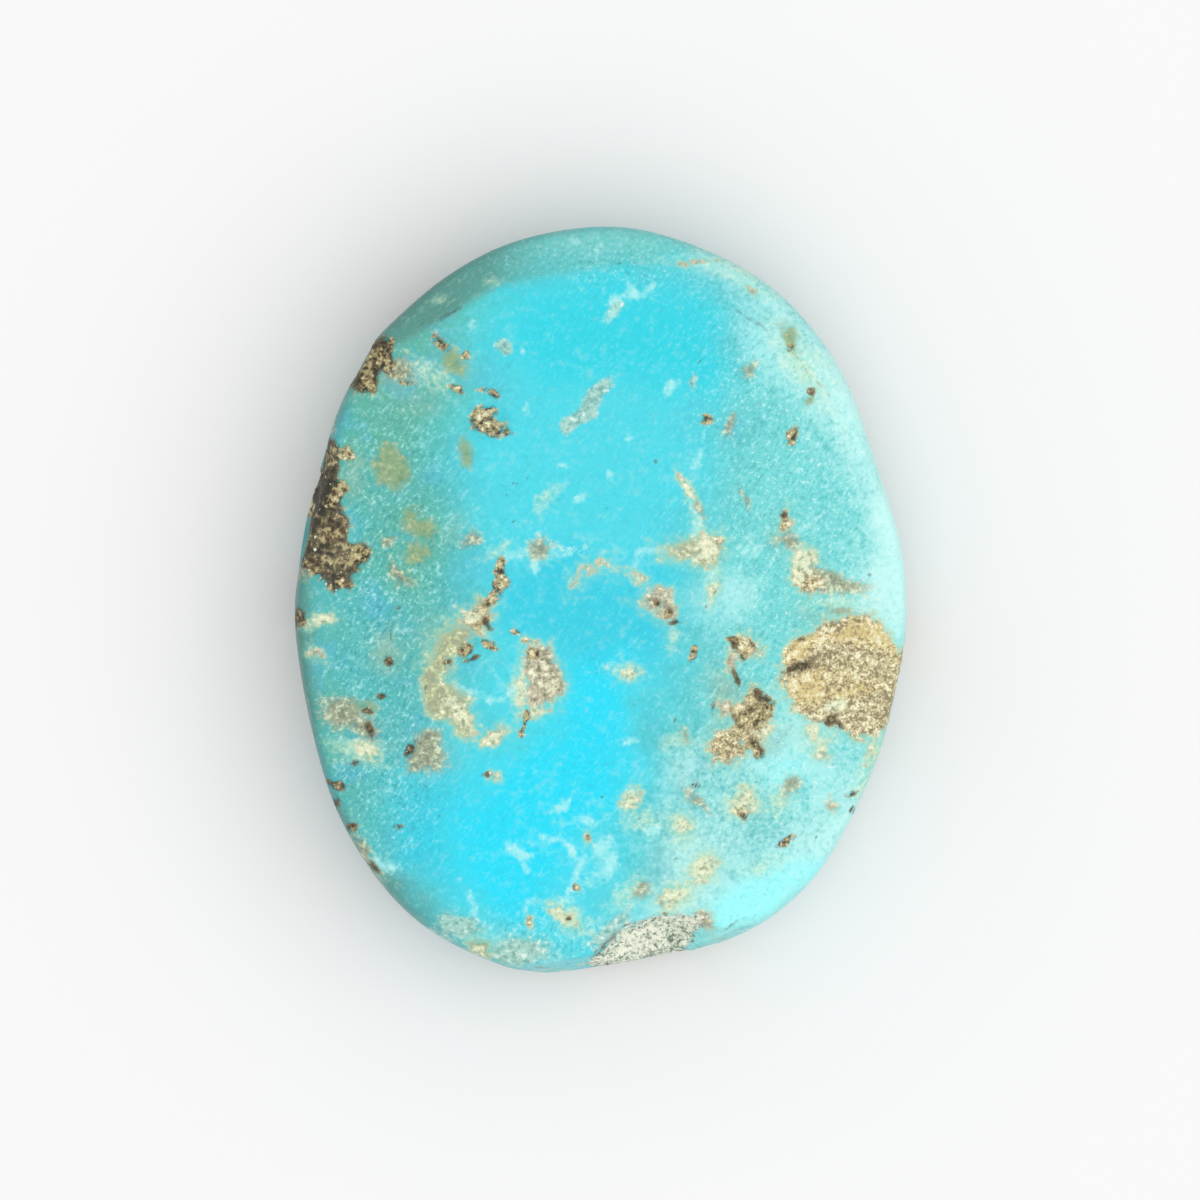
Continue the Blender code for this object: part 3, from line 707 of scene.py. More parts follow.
def relief(points, wear, ridge_height):
    """How far the surface lies below the ground form: hollows, the rough break, grinding waves."""
    depth = np.zeros(len(points))
    for *place, deep in HOLLOWS:
        depth += deep * uneven(points, *HOLLOW_UNEVENNESS) * bell(points, *place)
    *place, deep = TAN_DISH
    depth += deep * uneven(points, *TAN_UNEVENNESS) * bell(points, *place)
    depth *= wear
    broken = bell(points, *BREAK_PATCH)
    coarse = lattice_noise(points, CRUMB_CELL, CRUMB_SEEDS[0])
    fine = lattice_noise(points, CRUMB_CELL / 2, CRUMB_SEEDS[1])
    depth += broken * (ridge_height * ridges(points) + CRUMB_HEIGHT * (coarse + fine))
    depth *= points[:, 2] > 0
    above_back = points[:, 2] + GIRDLE_HEIGHT
    for seed, (cell, height) in enumerate(GRINDING_WAVES, GRINDING_SEED):
        waves = height * lattice_noise(points, cell, seed)
        depth += waves * np.clip(above_back / WAVES_FROM, 0, 1) ** 2
    return depth


# The net of faces


def square_to_bearing(x, y):
    """The bearing of a lattice point when each square ring of the lattice is wound round."""
    wide = np.abs(x) >= np.abs(y)
    longer = np.where(wide, x, y)
    safe = np.where(longer == 0, 1, longer)
    slant = np.where(wide, y, -x) / safe * math.pi / 4
    start = np.where(wide, np.where(x < 0, math.pi, 0), np.where(y < 0, -math.pi / 2, math.pi / 2))
    return start + slant


def wound_grid(rings, first):
    """A square grid wound into rings: each point's ring and bearing, the quads, the outer ring."""
    side = 2 * rings + 1
    y, x = (axis.ravel() - rings for axis in np.mgrid[0:side, 0:side])
    ring = np.maximum(np.abs(x), np.abs(y))
    bearing = square_to_bearing(x, y)
    corner = (np.arange(side - 1)[:, None] * side + np.arange(side - 1)).ravel()
    quads = np.column_stack((corner, corner + 1, corner + side + 1, corner + side)) + first
    outer = np.flatnonzero(ring == rings)
    place = np.rint(bearing[outer] / (math.pi / 4) * rings).astype(int) % (8 * rings)
    return ring, bearing, quads, outer[np.argsort(place)] + first


def side_faces(upper, lower):
    """The faces between two rings of points: quads if they match, triangles where points halve."""
    upper_next = np.roll(upper, -1)
    lower_next = np.roll(lower, -1)
    if len(upper) == len(lower):
        return np.column_stack((upper, lower, lower_next, upper_next)).tolist()
    even, odd, after = upper[::2], upper[1::2], upper_next[1::2]
    fans = ((even, lower, odd), (odd, lower, lower_next), (odd, lower_next, after))
    return np.concatenate([np.column_stack(fan) for fan in fans]).tolist()


def stone_net(rings, length, width):
    """The points of the squared-off pebble, in mm from its heart, and its faces.

    The polished side and the back are grids wound into rings. Between them, rings of points run down
    the side by the superellipse of the back, and halve twice, so that the back has fewer points.
    """
    reach = (length + width) / 4
    ring, bearing, quads, outer = wound_grid(rings, 0)
    share, height = section(FACE_RISE, FACE_FULLNESS, rings, reach)
    shares, heights, bearings = [share[ring]], [FACE_RISE * height[ring]], [bearing]
    faces = quads.tolist()

    back_share, back_height = section(BACK_DROP, BACK_FULLNESS, SECTION_SAMPLES, reach)
    flat_from = np.argmax(back_height * BACK_DROP < GIRDLE_HEIGHT)
    around = [points_each * rings for points_each, count in SIDE_RINGS for _ in range(count)]
    stations = np.linspace(SECTION_SAMPLES, flat_from, len(around) + 1).astype(int)[1:]
    first = len(ring)
    for count, station in zip(around[:-1], stations[:-1]):
        lower = first + np.arange(count)
        faces += side_faces(outer, lower)
        shares.append(np.full(count, back_share[station]))
        heights.append(np.full(count, -BACK_DROP * back_height[station]))
        bearings.append(np.arange(count) * 2 * math.pi / count)
        outer = lower
        first += count

    back_rings = rings // BACK_RINGS_SHARE
    ring, bearing, quads, lower = wound_grid(back_rings, first)
    faces += side_faces(outer, lower)
    faces += quads[:, ::-1].tolist()
    shares.append(back_share[stations[-1]] * ring / back_rings)
    heights.append(np.full(len(ring), -GIRDLE_HEIGHT))
    bearings.append(bearing)

    bearing = np.concatenate(bearings)
    height = np.concatenate(heights)
    radius = rim_radius(bearing, length, width) * np.concatenate(shares)
    return np.column_stack((radius * np.cos(bearing), radius * np.sin(bearing), height)), faces


# The markings


def wandered(points, wander, seed):
    """Points moved about by noise of several cell sizes, which frays what is laid out on them."""
    moved = points.copy()
    for cell, amount in wander:
        for axis in range(3):
            moved[:, axis] += amount * lattice_noise(points, cell, seed + axis)
        seed += 3
    return moved


def blot_depth(points, x, y, half_length, half_width, turn):
    """How far inside an ellipse each point lies, below 0 outside, eased so that small ones show."""
    along, across = turned(points[:, 0] - x, points[:, 1] - y, turn)
    return (1 - np.hypot(along / half_length, across / half_width)) * np.sqrt(half_width * EASE)


def away_from(points, start, end):
    """How far each point lies in plan from the straight line between two places."""
    side = end - start
    away = points[:, :2] - start
    share = np.clip(away @ side / (side @ side), 0, 1)
    return np.hypot(*(away - share[:, None] * side).T)


def line_depth(points, half_width, *row):
    """How far inside a line of a given width each point lies, and less than 0 outside it."""
    row = np.array(row)
    return half_width - np.min([away_from(points, *ends) for ends in zip(row, row[1:])], axis=0)


def outline_depth(points, corners):
    """How far inside a closed outline each point lies, in mm, and less than 0 outside it.

    That is the distance to the nearest side. The outline winds round the points inside it: each side
    that passes a point upwards on its right counts 1, and each that passes downwards counts -1.
    """
    corners = np.array(corners)
    nearest = np.full(len(points), np.inf)
    winding = np.zeros(len(points), int)
    for start, end in zip(corners, np.roll(corners, -1, axis=0)):
        nearest = np.minimum(nearest, away_from(points, start, end))
        side, away = end - start, points[:, :2] - start
        left = side[0] * away[:, 1] - side[1] * away[:, 0] > 0
        begun = points[:, 1] >= start[1]
        passed = points[:, 1] >= end[1]
        winding += (begun & ~passed & left).astype(int) - (~begun & passed & ~left)
    return np.where(winding != 0, nearest, -nearest)


def depth_in(points, blots, outlines=()):
    """How far inside the patches of one kind each point lies, in mm, and below 0 outside them all.

    Patches that meet run together smoothly: the depth is the logarithm of a sum of exponentials.
    """
    total = np.full(len(points), math.exp(-DEEPEST / RUN_TOGETHER))
    round_ones = (blot_depth(points, *blot) for blot in blots)
    cornered_ones = (outline_depth(points, outline) for outline in outlines)
    for depth in chain(round_ones, cornered_ones):
        total += np.exp(np.clip(depth, -DEEPEST, DEEPEST) / RUN_TOGETHER)
    return RUN_TOGETHER * np.log(total)


def nearest_line(points, lines):
    """How far inside the nearest of several lines each point lies."""
    return np.max([line_depth(points, *line) for line in lines], axis=0)


def zone(points, zones):
    """A soft mask: each zone is a bell curve, and where they overlap they cover more."""
    left = np.ones(len(points))
    for x, y, half_length, half_width, turn, strength in zones:
        along, across = turned(points[:, 0] - x, points[:, 1] - y, turn)
        left *= 1 - strength * np.exp(-((along / half_length) ** 2 + (across / half_width) ** 2))
    return 1 - left


def markings(points, length, width):
    """The depths and zones that the material reads, by name: one number for each point.

    Below the face the places wander more the lower they lie, so that patches run on down the side in
    uneven tongues and the back gets markings of its own.
    """
    x, y, z = points.T
    below = np.clip(TABLE_RISE - TONGUES_BELOW - z, 0, None)[:, None]
    tongues = below * (wandered(points, *TONGUES) - points)
    ragged = wandered(points, *RAGGED) + tongues
    small = wandered(points, *SMALL) + tongues
    soft = wandered(points, *SOFT)
    bevel = np.maximum(*(turned(x, y, bearing)[0] - start for bearing, _, start in BEVELS))
    bevel = np.clip(bevel / BEVEL_FADE + BEVEL_START, 0, 1)
    bearing = np.arctan2(y, x)
    inward = (rim_radius(bearing, length, width) - np.hypot(x, y)) / EDGE_WIDTH
    facing = np.cos(bearing - math.radians(EDGE_BEARING))
    edge = np.exp(-(inward**2)) * np.clip(EDGE_SPREAD + facing, 0, 1)
    edge *= np.clip(1 + z, 0, 1)
    island_x, island_y, radius = ISLAND
    return {
        "pyrite": depth_in(small, PYRITE),
        "dark": depth_in(small, DARK, DARK_OUTLINES),
        "tan": depth_in(ragged, TAN, TAN_OUTLINES),
        "olive": depth_in(ragged, OLIVE, OLIVE_OUTLINES),
        "cream": depth_in(ragged, CREAM, CREAM_OUTLINES),
        "pink": depth_in(ragged, PINK, PINK_OUTLINES),
        "straw": depth_in(ragged, STRAW, STRAW_OUTLINES),
        "chalk": depth_in(ragged, CHALK),
        "buff": depth_in(ragged, BUFF, BUFF_OUTLINES),
        "pale": depth_in(ragged, PALE),
        "crack": np.maximum(depth_in(small, CRACKS), nearest_line(small, CRACK_LINES)),
        "ring": np.hypot(small[:, 0] - island_x, small[:, 1] - island_y) - radius,
        "sky": depth_in(soft, (), SKY_OUTLINES),
        "cyan": depth_in(soft, (), CYAN_OUTLINES),
        "blue": depth_in(soft, (), BLUE_OUTLINES),
        "deep": depth_in(soft, (), DEEP_OUTLINES),
        "mint": zone(soft, MINT_AND_LIT_RIM_ZONES),
        "green": zone(soft, GREEN_ZONES),
        # The grey is painted shade on the left rim and the upper left bevel, which turn away from the
        # light
        "grey": np.maximum(zone(soft, RIM_SHADE_ZONES), bevel * zone(soft, BEVEL_SHADE_ZONES)),
        "bevel": bevel,
        "edge": edge,
        "grain": zone(soft, GRAIN_AND_GLINT_ZONES),
        "wisp": zone(soft, WISP_ZONES),
        "aqua": zone(soft, AQUA_ZONES),
        "film": depth_in(ragged, FILM, FILM_OUTLINES),
        "broken": depth_in(small - tongues, (), (BREAK_OUTLINE,)),
        "gilt": zone(ragged, GOLD_ZONES) - zone(ragged, BROWN_ZONES),
        "vein": nearest_line(small, VEINS),
        "smoke": zone(ragged, SMOKE_ZONES),
        "ice": zone(soft, ICE_ZONES),
    }


def pits(points, depths):
    """How far the matrix has crumbled below the polish, in mm, in grains of two sizes."""
    deep = np.maximum.reduce([depths[name] for name in PITTED])
    grains = 1
    for finer, share, seed in PIT_GRAINS:
        grains = grains + share * lattice_noise(points, PIT_CELL / finer, seed)
    above_back = np.clip((points[:, 2] + GIRDLE_HEIGHT) / WAVES_FROM, 0, 1)
    return PIT_DEPTH * np.clip(deep / PIT_REACH, 0, 1) * grains * above_back


def vertex_array(source, name, count):
    """A vector of each vertex, as an array with one row for each."""
    values = np.empty(count * 3)
    source.foreach_get(name, values)
    return values.reshape(-1, 3)


def store(mesh, depths):
    """Keeps the markings with the points, three numbers to a name."""
    for key, names in STORED.items():
        attribute = mesh.attributes.new(key, "FLOAT_VECTOR", "POINT")
        columns = np.column_stack([depths[name] for name in names])
        attribute.data.foreach_set("vector", columns.astype(np.float32).ravel())


# The material


class Value:
    """A number socket that can stand in an expression: each operator adds its own Math node."""

    def __init__(self, graph, socket):
        self.graph = graph
        self.socket = socket

    def math(self, operation, *values):
        return self.graph.node("ShaderNodeMath", {"operation": operation}, dict(enumerate(values)))

    def __add__(self, other):
        return self.math("ADD", self, other)

    def __radd__(self, other):
        return self.math("ADD", other, self)

    def __sub__(self, other):
        return self.math("SUBTRACT", self, other)

    def __rsub__(self, other):
        return self.math("SUBTRACT", other, self)

    def __mul__(self, other):
        return self.math("MULTIPLY", self, other)

    def __rmul__(self, other):
        return self.math("MULTIPLY", other, self)

    def __neg__(self):
        return self.math("MULTIPLY", self, -1)

    def __abs__(self):
        return self.math("ABSOLUTE", self)

    def __or__(self, other):
        return self.math("MAXIMUM", self, other)


class Graph:
    """The nodes of one material."""

    def __init__(self, material):
        material.use_nodes = True
        self.tree = material.node_tree
        self.shader = self.tree.nodes["Principled BSDF"]

    def node(self, kind, settings, inputs, output=0):
        """Adds a node, sets its settings, then gives its sockets their values or links."""
        made = self.tree.nodes.new(kind)
        for name, setting in settings.items():
            setattr(made, name, setting)
        self.fill(made, inputs)
        return Value(self, made.outputs[output])

    def fill(self, made, inputs):
        """Gives a node's sockets their values or links."""
        for name, value in inputs.items():
            if isinstance(value, Value):
                self.tree.links.new(value.socket, made.inputs[name])
            else:
                made.inputs[name].default_value = value

    def smooth(self, value, low, high):
        """0 below low, 1 above high, and a smooth step between."""
        inputs = {"Value": value, "From Min": low, "From Max": high}
        return self.node("ShaderNodeMapRange", {"interpolation_type": "SMOOTHSTEP"}, inputs)

    def blend(self, factor, first, second):
        """One colour laid over another."""
        colours = [c if isinstance(c, Value) else (*c, 1) for c in (first, second)]
        inputs = {0: factor, 6: colours[0], 7: colours[1]}
        return self.node("ShaderNodeMix", {"data_type": "RGBA"}, inputs, 2)

    def grains(self, value, dark, middle, light):
        """Three colours of grain: dark where the value is low, and light where it is high."""
        darker = self.blend(self.smooth(value, *DARK_GRAIN), dark, middle)
        return self.blend(self.smooth(value, *LIGHT_GRAIN), darker, light)

    def stored(self, name):
        """The three numbers that the mesh keeps under a name."""
        vector = self.node("ShaderNodeAttribute", {"attribute_name": name}, {}, "Vector")
        return [self.node("ShaderNodeSeparateXYZ", {}, {0: vector}, axis) for axis in range(3)]

    def noise(self, places, scale, detail, roughness=0.5):
        """Cloudy noise round 0, from about -0.5 to 0.5."""
        inputs = {"Vector": places, "Scale": scale, "Detail": detail, "Roughness": roughness}
        return self.node("ShaderNodeTexNoise", {}, inputs) - 0.5

    def cells(self, places, scale):
        """Crystal cells: how far a place is from its cell's middle, and the cell's random number."""
        inputs = {"Vector": places, "Scale": scale}
        middle = self.node("ShaderNodeTexVoronoi", {}, inputs, "Distance")
        colour = self.node("ShaderNodeTexVoronoi", {}, inputs, "Color")
        return middle, self.node("ShaderNodeSeparateColor", {}, {0: colour}, 0)

    def slanted(self, places, degrees, stretch):
        """Places for a pattern that is drawn out along one bearing."""
        rotation = (0, 0, math.radians(degrees))
        inputs = {"Vector": places, "Rotation": rotation, "Scale": (stretch, 1, 1)}
        return self.node("ShaderNodeMapping", {"vector_type": "TEXTURE"}, inputs)


class Layers(Graph):
    """A material that is built up in layers, on places in millimetres."""

    def __init__(self, material, ground):
        super().__init__(material)
        self.colour = ground
        metres = self.node("ShaderNodeTexCoord", {}, {}, "Object")
        scaled = {0: metres, "Scale": 1 / MM}
        self.places = self.node("ShaderNodeVectorMath", {"operation": "SCALE"}, scaled)

    def lay(self, cover, colour):
        """Lays a colour over those before it, as thickly at each place as the cover says."""
        self.colour = self.blend(cover, self.colour, colour)


def stored_markings(stone):
    """The markings that the mesh keeps, by name."""
    found = {}
    for key, names in STORED.items():
        found.update(zip(names, stone.stored(key)))
    return SimpleNamespace(**found)


def stone_noises(stone, grain):
    """The noises that the layers share, from broad drifts down to dust, and blends of them."""
    noise, places = stone.noise, stone.places
    broad = noise(places, 0.5, 3)
    middling = noise(places, 2.2, 3, 0.6)
    lumps = noise(places, 4.0, 2, 0.6)
    grit = noise(places, 5.5, 2, 0.55)
    dust = noise(places, 12.0, 1)
    # Cells for the painted glints
    spark, spark_pick = stone.cells(places, 4.6)
    mottle = 1.3 * grit + 0.45 * dust
    return SimpleNamespace(
        broad=broad,
        middling=middling,
        lumps=lumps,
        grit=grit,
        dust=dust,
        streaks=noise(stone.slanted(places, 56, 2.8), 8.5, 2, 0.6),
        fray=0.5 * middling + 0.4 * lumps + 0.25 * grit,
        mottle=mottle,
        rubble=0.8 * mottle + 1.3 * lumps + 0.5 * middling,
        grain_and_glint=stone.smooth(grain + 0.6 * middling, 0.1, 0.8),
        spark=spark,
        spark_pick=spark_pick,
    )


def body(stone, look, at, noise):
    """Green through teal to aqua and mint, blues down the middle, and greyer edges of painted shade.
    """
    smooth = stone.smooth
    drift = 2.6 * noise.broad + 1.2 * noise.middling + 0.8 * noise.grit
    stone.lay(smooth(at.green + 0.9 * noise.broad + 0.6 * noise.middling, 0.05, 0.95), look.green)
    stone.lay(smooth(at.aqua + 0.6 * noise.broad + 0.5 * noise.middling, 0.1, 0.9), look.aqua)
    patches = 0.9 * noise.middling - 2.2 * noise.broad - 0.3 * at.aqua
    stone.lay(smooth(patches, 0.0, 0.45) * 0.70, look.patch)
    # Mint: chalky turquoise, and painted light where the right rim and bevels face the key
    stone.lay(smooth(at.mint + 0.5 * noise.middling + 0.5 * noise.grit, 0.0, 0.9), look.mint)
    stone.lay(smooth(at.ice + 0.4 * noise.middling, 0.0, 0.9), look.ice)
    stone.lay(smooth(at.sky + drift, -2.8, 1.4), look.sky)
    stone.lay(smooth(at.cyan + drift, -1.6, 1.2) * 0.85, look.cyan)
    stone.lay(smooth(at.blue + drift, -1.2, 0.8) * 0.72, look.blue)
    stone.lay(smooth(at.deep + drift, -1.2, 1.0), look.deep)
    stone.lay(smooth(at.bevel + 0.4 * noise.middling, 0.0, 1.0) * 0.6, look.facet)
    # Painted shade: grey-green on the upper left bevel and down the left rim, turned away from the
    # light
    stone.lay(smooth(at.grey + 0.5 * noise.middling + 0.4 * noise.lumps, 0.0, 1.0) * 0.92, look.grey)
    stone.lay(smooth(at.smoke + 0.6 * noise.middling + 0.3 * noise.lumps, 0.0, 0.9), look.smoke)


def fine_grain(stone, look, at, noise):
    """Soft mottling everywhere, and on chalky stone white scratches and painted glints of white
    sparks.
    """
    smooth = stone.smooth
    mottling = noise.middling + 0.4 * noise.broad + 0.4 * noise.lumps
    stone.lay(smooth(mottling, 0.02, 0.42) * 0.34, look.milk)
    stone.lay(smooth(-noise.middling - 0.4 * noise.lumps, 0.04, 0.42) * 0.28, look.shade)
    fleck = 0.7 * noise.mottle + 1.2 * noise.streaks
    stone.lay(smooth(fleck, 0.03, 0.40) * (0.15 + 0.54 * noise.grain_and_glint + 0.20 * at.aqua), look.milk)
    dimmed = (0.12 + 0.56 * noise.grain_and_glint) * (1 - 0.5 * at.mint - 0.4 * at.aqua)
    stone.lay(smooth(-fleck, 0.03, 0.36) * dimmed, look.shade)
    # Painted glints: white flecks and sparks that stand in for the sparkle of the grainy stone
    salt = 1.9 * noise.dust + 0.8 * noise.grit + 0.5 * noise.lumps
    flecks = smooth(salt, 0.18, 0.50) * (0.12 + 0.75 * noise.grain_and_glint)
    painted_glitter = 0.8 * (noise.spark_pick - 0.72) - noise.spark + 1.2 * noise.dust
    sparks = smooth(painted_glitter, -0.04, 0.12) * noise.grain_and_glint
    stone.lay((flecks * (0.22 + 0.16 * at.aqua)) | (sparks * (0.34 + 0.20 * at.aqua)), look.white)


def wisps(stone, look, at, noise):
    """The edge away from the light, and milky threads, clouds and the ring."""
    smooth = stone.smooth
    stone.lay(at.edge * 0.50, look.edge)
    creased = 1 - smooth(abs(stone.noise(stone.places, 0.8, 2)), 0.0, 0.05)
    threads = creased * smooth(at.wisp + 1.2 * noise.middling, 0.35, 0.9)
    cloudy = noise.middling + 0.5 * noise.grit + 0.35 * at.wisp
    clouds = smooth(cloudy, 0.30, 0.75) * smooth(at.wisp, 0.1, 0.6)
    circle = (1 - smooth(abs(at.ring), 0.02, 0.13)) * smooth(noise.middling, -0.25, 0.10)
    stone.lay((threads * 0.25) | (clouds * 0.60) | (circle * 0.22), look.milk)


def haze_and_film(stone, look, at, noise):
    """The haze round the stains, chalk, veins, film and pale spots."""
    smooth = stone.smooth
    stain = (at.straw | at.cream) | (at.tan | at.pink)
    haze = smooth(stain + 0.9 * noise.middling + 0.4 * noise.lumps, -0.50, 0.10)
    stone.lay(haze * 0.45, look.haze)
    halo = smooth(stain + 1.3 * noise.fray, -0.26, 0.04)
    stone.lay(halo * 0.50, look.halo)
    chalk_mask = smooth(at.chalk + 1.2 * noise.fray, -0.25, 0.45)
    stone.lay(chalk_mask * 0.76, stone.blend(smooth(noise.mottle, -0.3, 0.3), look.haze, look.chalk))
    vein_mask = smooth(at.vein + 0.5 * noise.fray, -0.14, 0.12)
    stone.lay(vein_mask * 0.58, stone.blend(smooth(noise.mottle, 0.0, 0.4), look.milk, look.white))
    film_mask = smooth(at.film + 0.7 * noise.fray, -0.12, 0.12)
    film_colour = stone.grains(0.8 * noise.rubble - 0.06, look.lichen, look.film, look.white)
    stone.lay(film_mask * 0.88, film_colour)
    pale_mask = smooth(at.pale + noise.fray, -0.16, 0.26)
    stone.lay(pale_mask * 0.82, stone.blend(smooth(noise.mottle, 0.0, 0.5), look.milk, look.white))


def stains(stone, look, at, noise):
    """Thin stains: buff, olive and straw."""
    smooth = stone.smooth
    buff_mask = smooth(at.buff + 1.1 * noise.fray, -0.20, 0.20)
    stone.lay(buff_mask * 0.85, stone.grains(noise.rubble, look.brown, look.buff, look.cream))
    olive_mask = smooth(at.olive + noise.fray, -0.20, 0.20)
    olive_value = 0.6 * noise.rubble + 0.4 * noise.middling
    stone.lay(olive_mask * 0.94, stone.grains(olive_value, look.moss, look.olive, look.straw))
    straw_mask = smooth(at.straw + 1.2 * noise.fray, -0.20, 0.18)
    straw_value = 1.2 * noise.rubble - 0.14
    stone.lay(straw_mask * 0.90, stone.grains(straw_value, look.buff, look.straw, look.light))


def matrix(stone, look, at, noise):
    """Matrix in grains, browner edges here and there, painted glints. Gives back where each kind
    lies.
    """
    smooth = stone.smooth
    pink_mask = smooth(at.pink + 1.2 * noise.fray, -0.16, 0.14)
    stone.lay(pink_mask * 0.92, stone.grains(noise.rubble, look.brown, look.pink, look.light))
    golden = smooth(at.gilt + noise.middling + 0.5 * noise.broad, -0.3, 0.6)
    ochre = stone.blend(golden, look.tan, look.ochre)
    tan_mask = smooth(at.tan + 1.2 * noise.fray, -0.14, 0.12)
    sand = 1.2 * noise.mottle + 0.6 * noise.dust + 0.5 * noise.lumps
    coarse = 0.8 * noise.middling + 0.4 * noise.broad + 0.10 * at.gilt - 0.03
    tan_value = sand * (1 - 0.5 * smooth(at.gilt, 0.0, 0.7)) + coarse
    stone.lay(tan_mask * 0.97, stone.grains(tan_value, look.umber, ochre, look.light))
    cream_mask = smooth(at.cream + 1.1 * noise.fray, -0.16, 0.16)
    stone.lay(cream_mask * 0.90, stone.grains(noise.rubble, look.buff, look.cream, look.light))
    border = (at.tan | at.cream) | at.pink
    frayed = border + noise.fray
    border_mask = smooth(frayed, -0.12, 0.0) * (1 - smooth(frayed, 0.02, 0.18))
    stone.lay(border_mask * smooth(noise.lumps + 0.8 * noise.middling, 0.0, 0.25) * 0.40, look.bark)
    dark_mask = smooth(at.dark + noise.fray, -0.10, 0.10)
    dark_value = 0.9 * noise.rubble + 0.7 * noise.middling + 0.28 * at.gilt - 0.11
    dark_colour = stone.grains(dark_value, look.dark, look.bark, look.gold)
    # Painted glints: pale specks on the dark matrix that stand in for the sparkle of its grains
    painted_glitter = smooth(0.8 * (noise.spark_pick - 0.62) - noise.spark + 0.4 * noise.dust, -0.02, 0.06)
    stone.lay(dark_mask * 0.96, stone.blend(painted_glitter * 0.8, dark_colour, look.light))
    return pink_mask, tan_mask, cream_mask, dark_mask


def broken_rim(stone, look, at, noise):
    """The rough break: pale crystals, brown edges, clefts of brown painted shade. Gives back where it
    lies.
    """
    smooth = stone.smooth
    break_mask = smooth(at.broken + 1.1 * noise.fray, -0.12, 0.12)
    inputs = {0: stone.places, 1: (1, 1, BREAK_FLATNESS)}
    flattened = stone.node("ShaderNodeVectorMath", {"operation": "MULTIPLY"}, inputs)
    facets = stone.noise(flattened, 6.0, 3, 0.8)
    crystals = 3.2 * facets + noise.middling + 0.34 * at.gilt - 0.02
    # Painted shade: dark brown gaps between the crystals, where shade falls among the ridges of the
    # break
    clefts = smooth(-2.4 * facets + 0.8 * noise.lumps, 0.24, 0.50)
    break_colour = stone.grains(crystals, look.stone, look.bone, look.snow)
    break_colour = stone.blend(clefts * 0.55, break_colour, look.bark)
    stone.lay(break_mask * 0.97, break_colour)
    rim = at.broken + 0.5 * noise.fray
    break_edge = smooth(rim, -0.16, -0.02) * (1 - smooth(rim, -0.02, 0.12))
    stone.lay(break_edge * smooth(noise.middling + noise.lumps, -0.1, 0.2) * 0.6, look.bark)
    return break_mask


def pyrite(stone, look, at, noise):
    """Gold-brown grains between dark creases. Gives back where it lies, and where it shines."""
    smooth = stone.smooth
    creases = noise.mottle + 1.2 * noise.lumps + 0.6 * (at.pyrite - 0.1)
    gold = stone.grains(creases - 0.10, look.bark, look.gold, look.light)
    pyrite_mask = smooth(at.pyrite + 0.8 * noise.fray, -0.09, 0.06)
    glint = smooth(creases, -0.34, -0.06)
    stone.lay(pyrite_mask * 0.96, stone.blend(glint, look.dark, gold))
    return pyrite_mask, glint


def turquoise_material(look):
    """Turquoise with its stains, matrix and pyrite, each laid over what came before.

    A patch shows where the depth stored for it, frayed by noise, is more than about 0. The numbers of
    its mask say how far the noise frays it and where its edge begins and ends, in mm, and the number
    it is laid with says how thick it is at most.
    """
    material = bpy.data.materials.new("turquoise with matrix")
    stone = Layers(material, look.teal)
    at = stored_markings(stone)
    noise = stone_noises(stone, at.grain)
    for layer in (body, fine_grain, wisps, haze_and_film, stains):
        layer(stone, look, at, noise)
    pink_mask, tan_mask, cream_mask, dark_mask = matrix(stone, look, at, noise)
    break_mask = broken_rim(stone, look, at, noise)
    pyrite_mask, glint = pyrite(stone, look, at, noise)
    crack_mask = stone.smooth(at.crack + 0.4 * noise.fray, -0.04, 0.08)
    stone.lay(crack_mask * 0.50, look.dark)

    rough = (tan_mask | dark_mask) | (break_mask | pyrite_mask)
    chalky = 0.35 * noise.grain_and_glint + 0.6 * (cream_mask | pink_mask)
    height = (chalky | rough) * (noise.mottle + noise.lumps) + 0.10 * noise.middling
    relief_inputs = {"Strength": look.grain_depth, "Distance": GRAIN_HEIGHT * MM, "Height": height}
    finish = {
        "Base Color": stone.colour,
        "Roughness": look.gloss + 0.12 * noise.grain_and_glint + 0.25 * rough,
        "Metallic": pyrite_mask * glint * 0.25,
        "Normal": stone.node("ShaderNodeBump", {}, relief_inputs),
        "Specular IOR Level": STONE_SHEEN,
    }
    stone.fill(stone.shader, finish)
    return material


class StoneShape(PropertyGroup):
    """Sizes of the stone."""

    length: length_property("Length", "Along the stone", 29.96 * MM)
    width: length_property("Width", "Across it", 24.32 * MM)
    wear: strength_property("Matrix wear", "How deep the matrix has worn, over its usual depth", 1)
    ridge_height: length_property("Ridges of the break", "Height of the ridges", 0.2 * MM)
    rings: IntProperty(
        name="Rings",
        description="Rings of faces from the middle to the rim",
        default=140,
        min=8,
        max=144,
        step=4,
    )


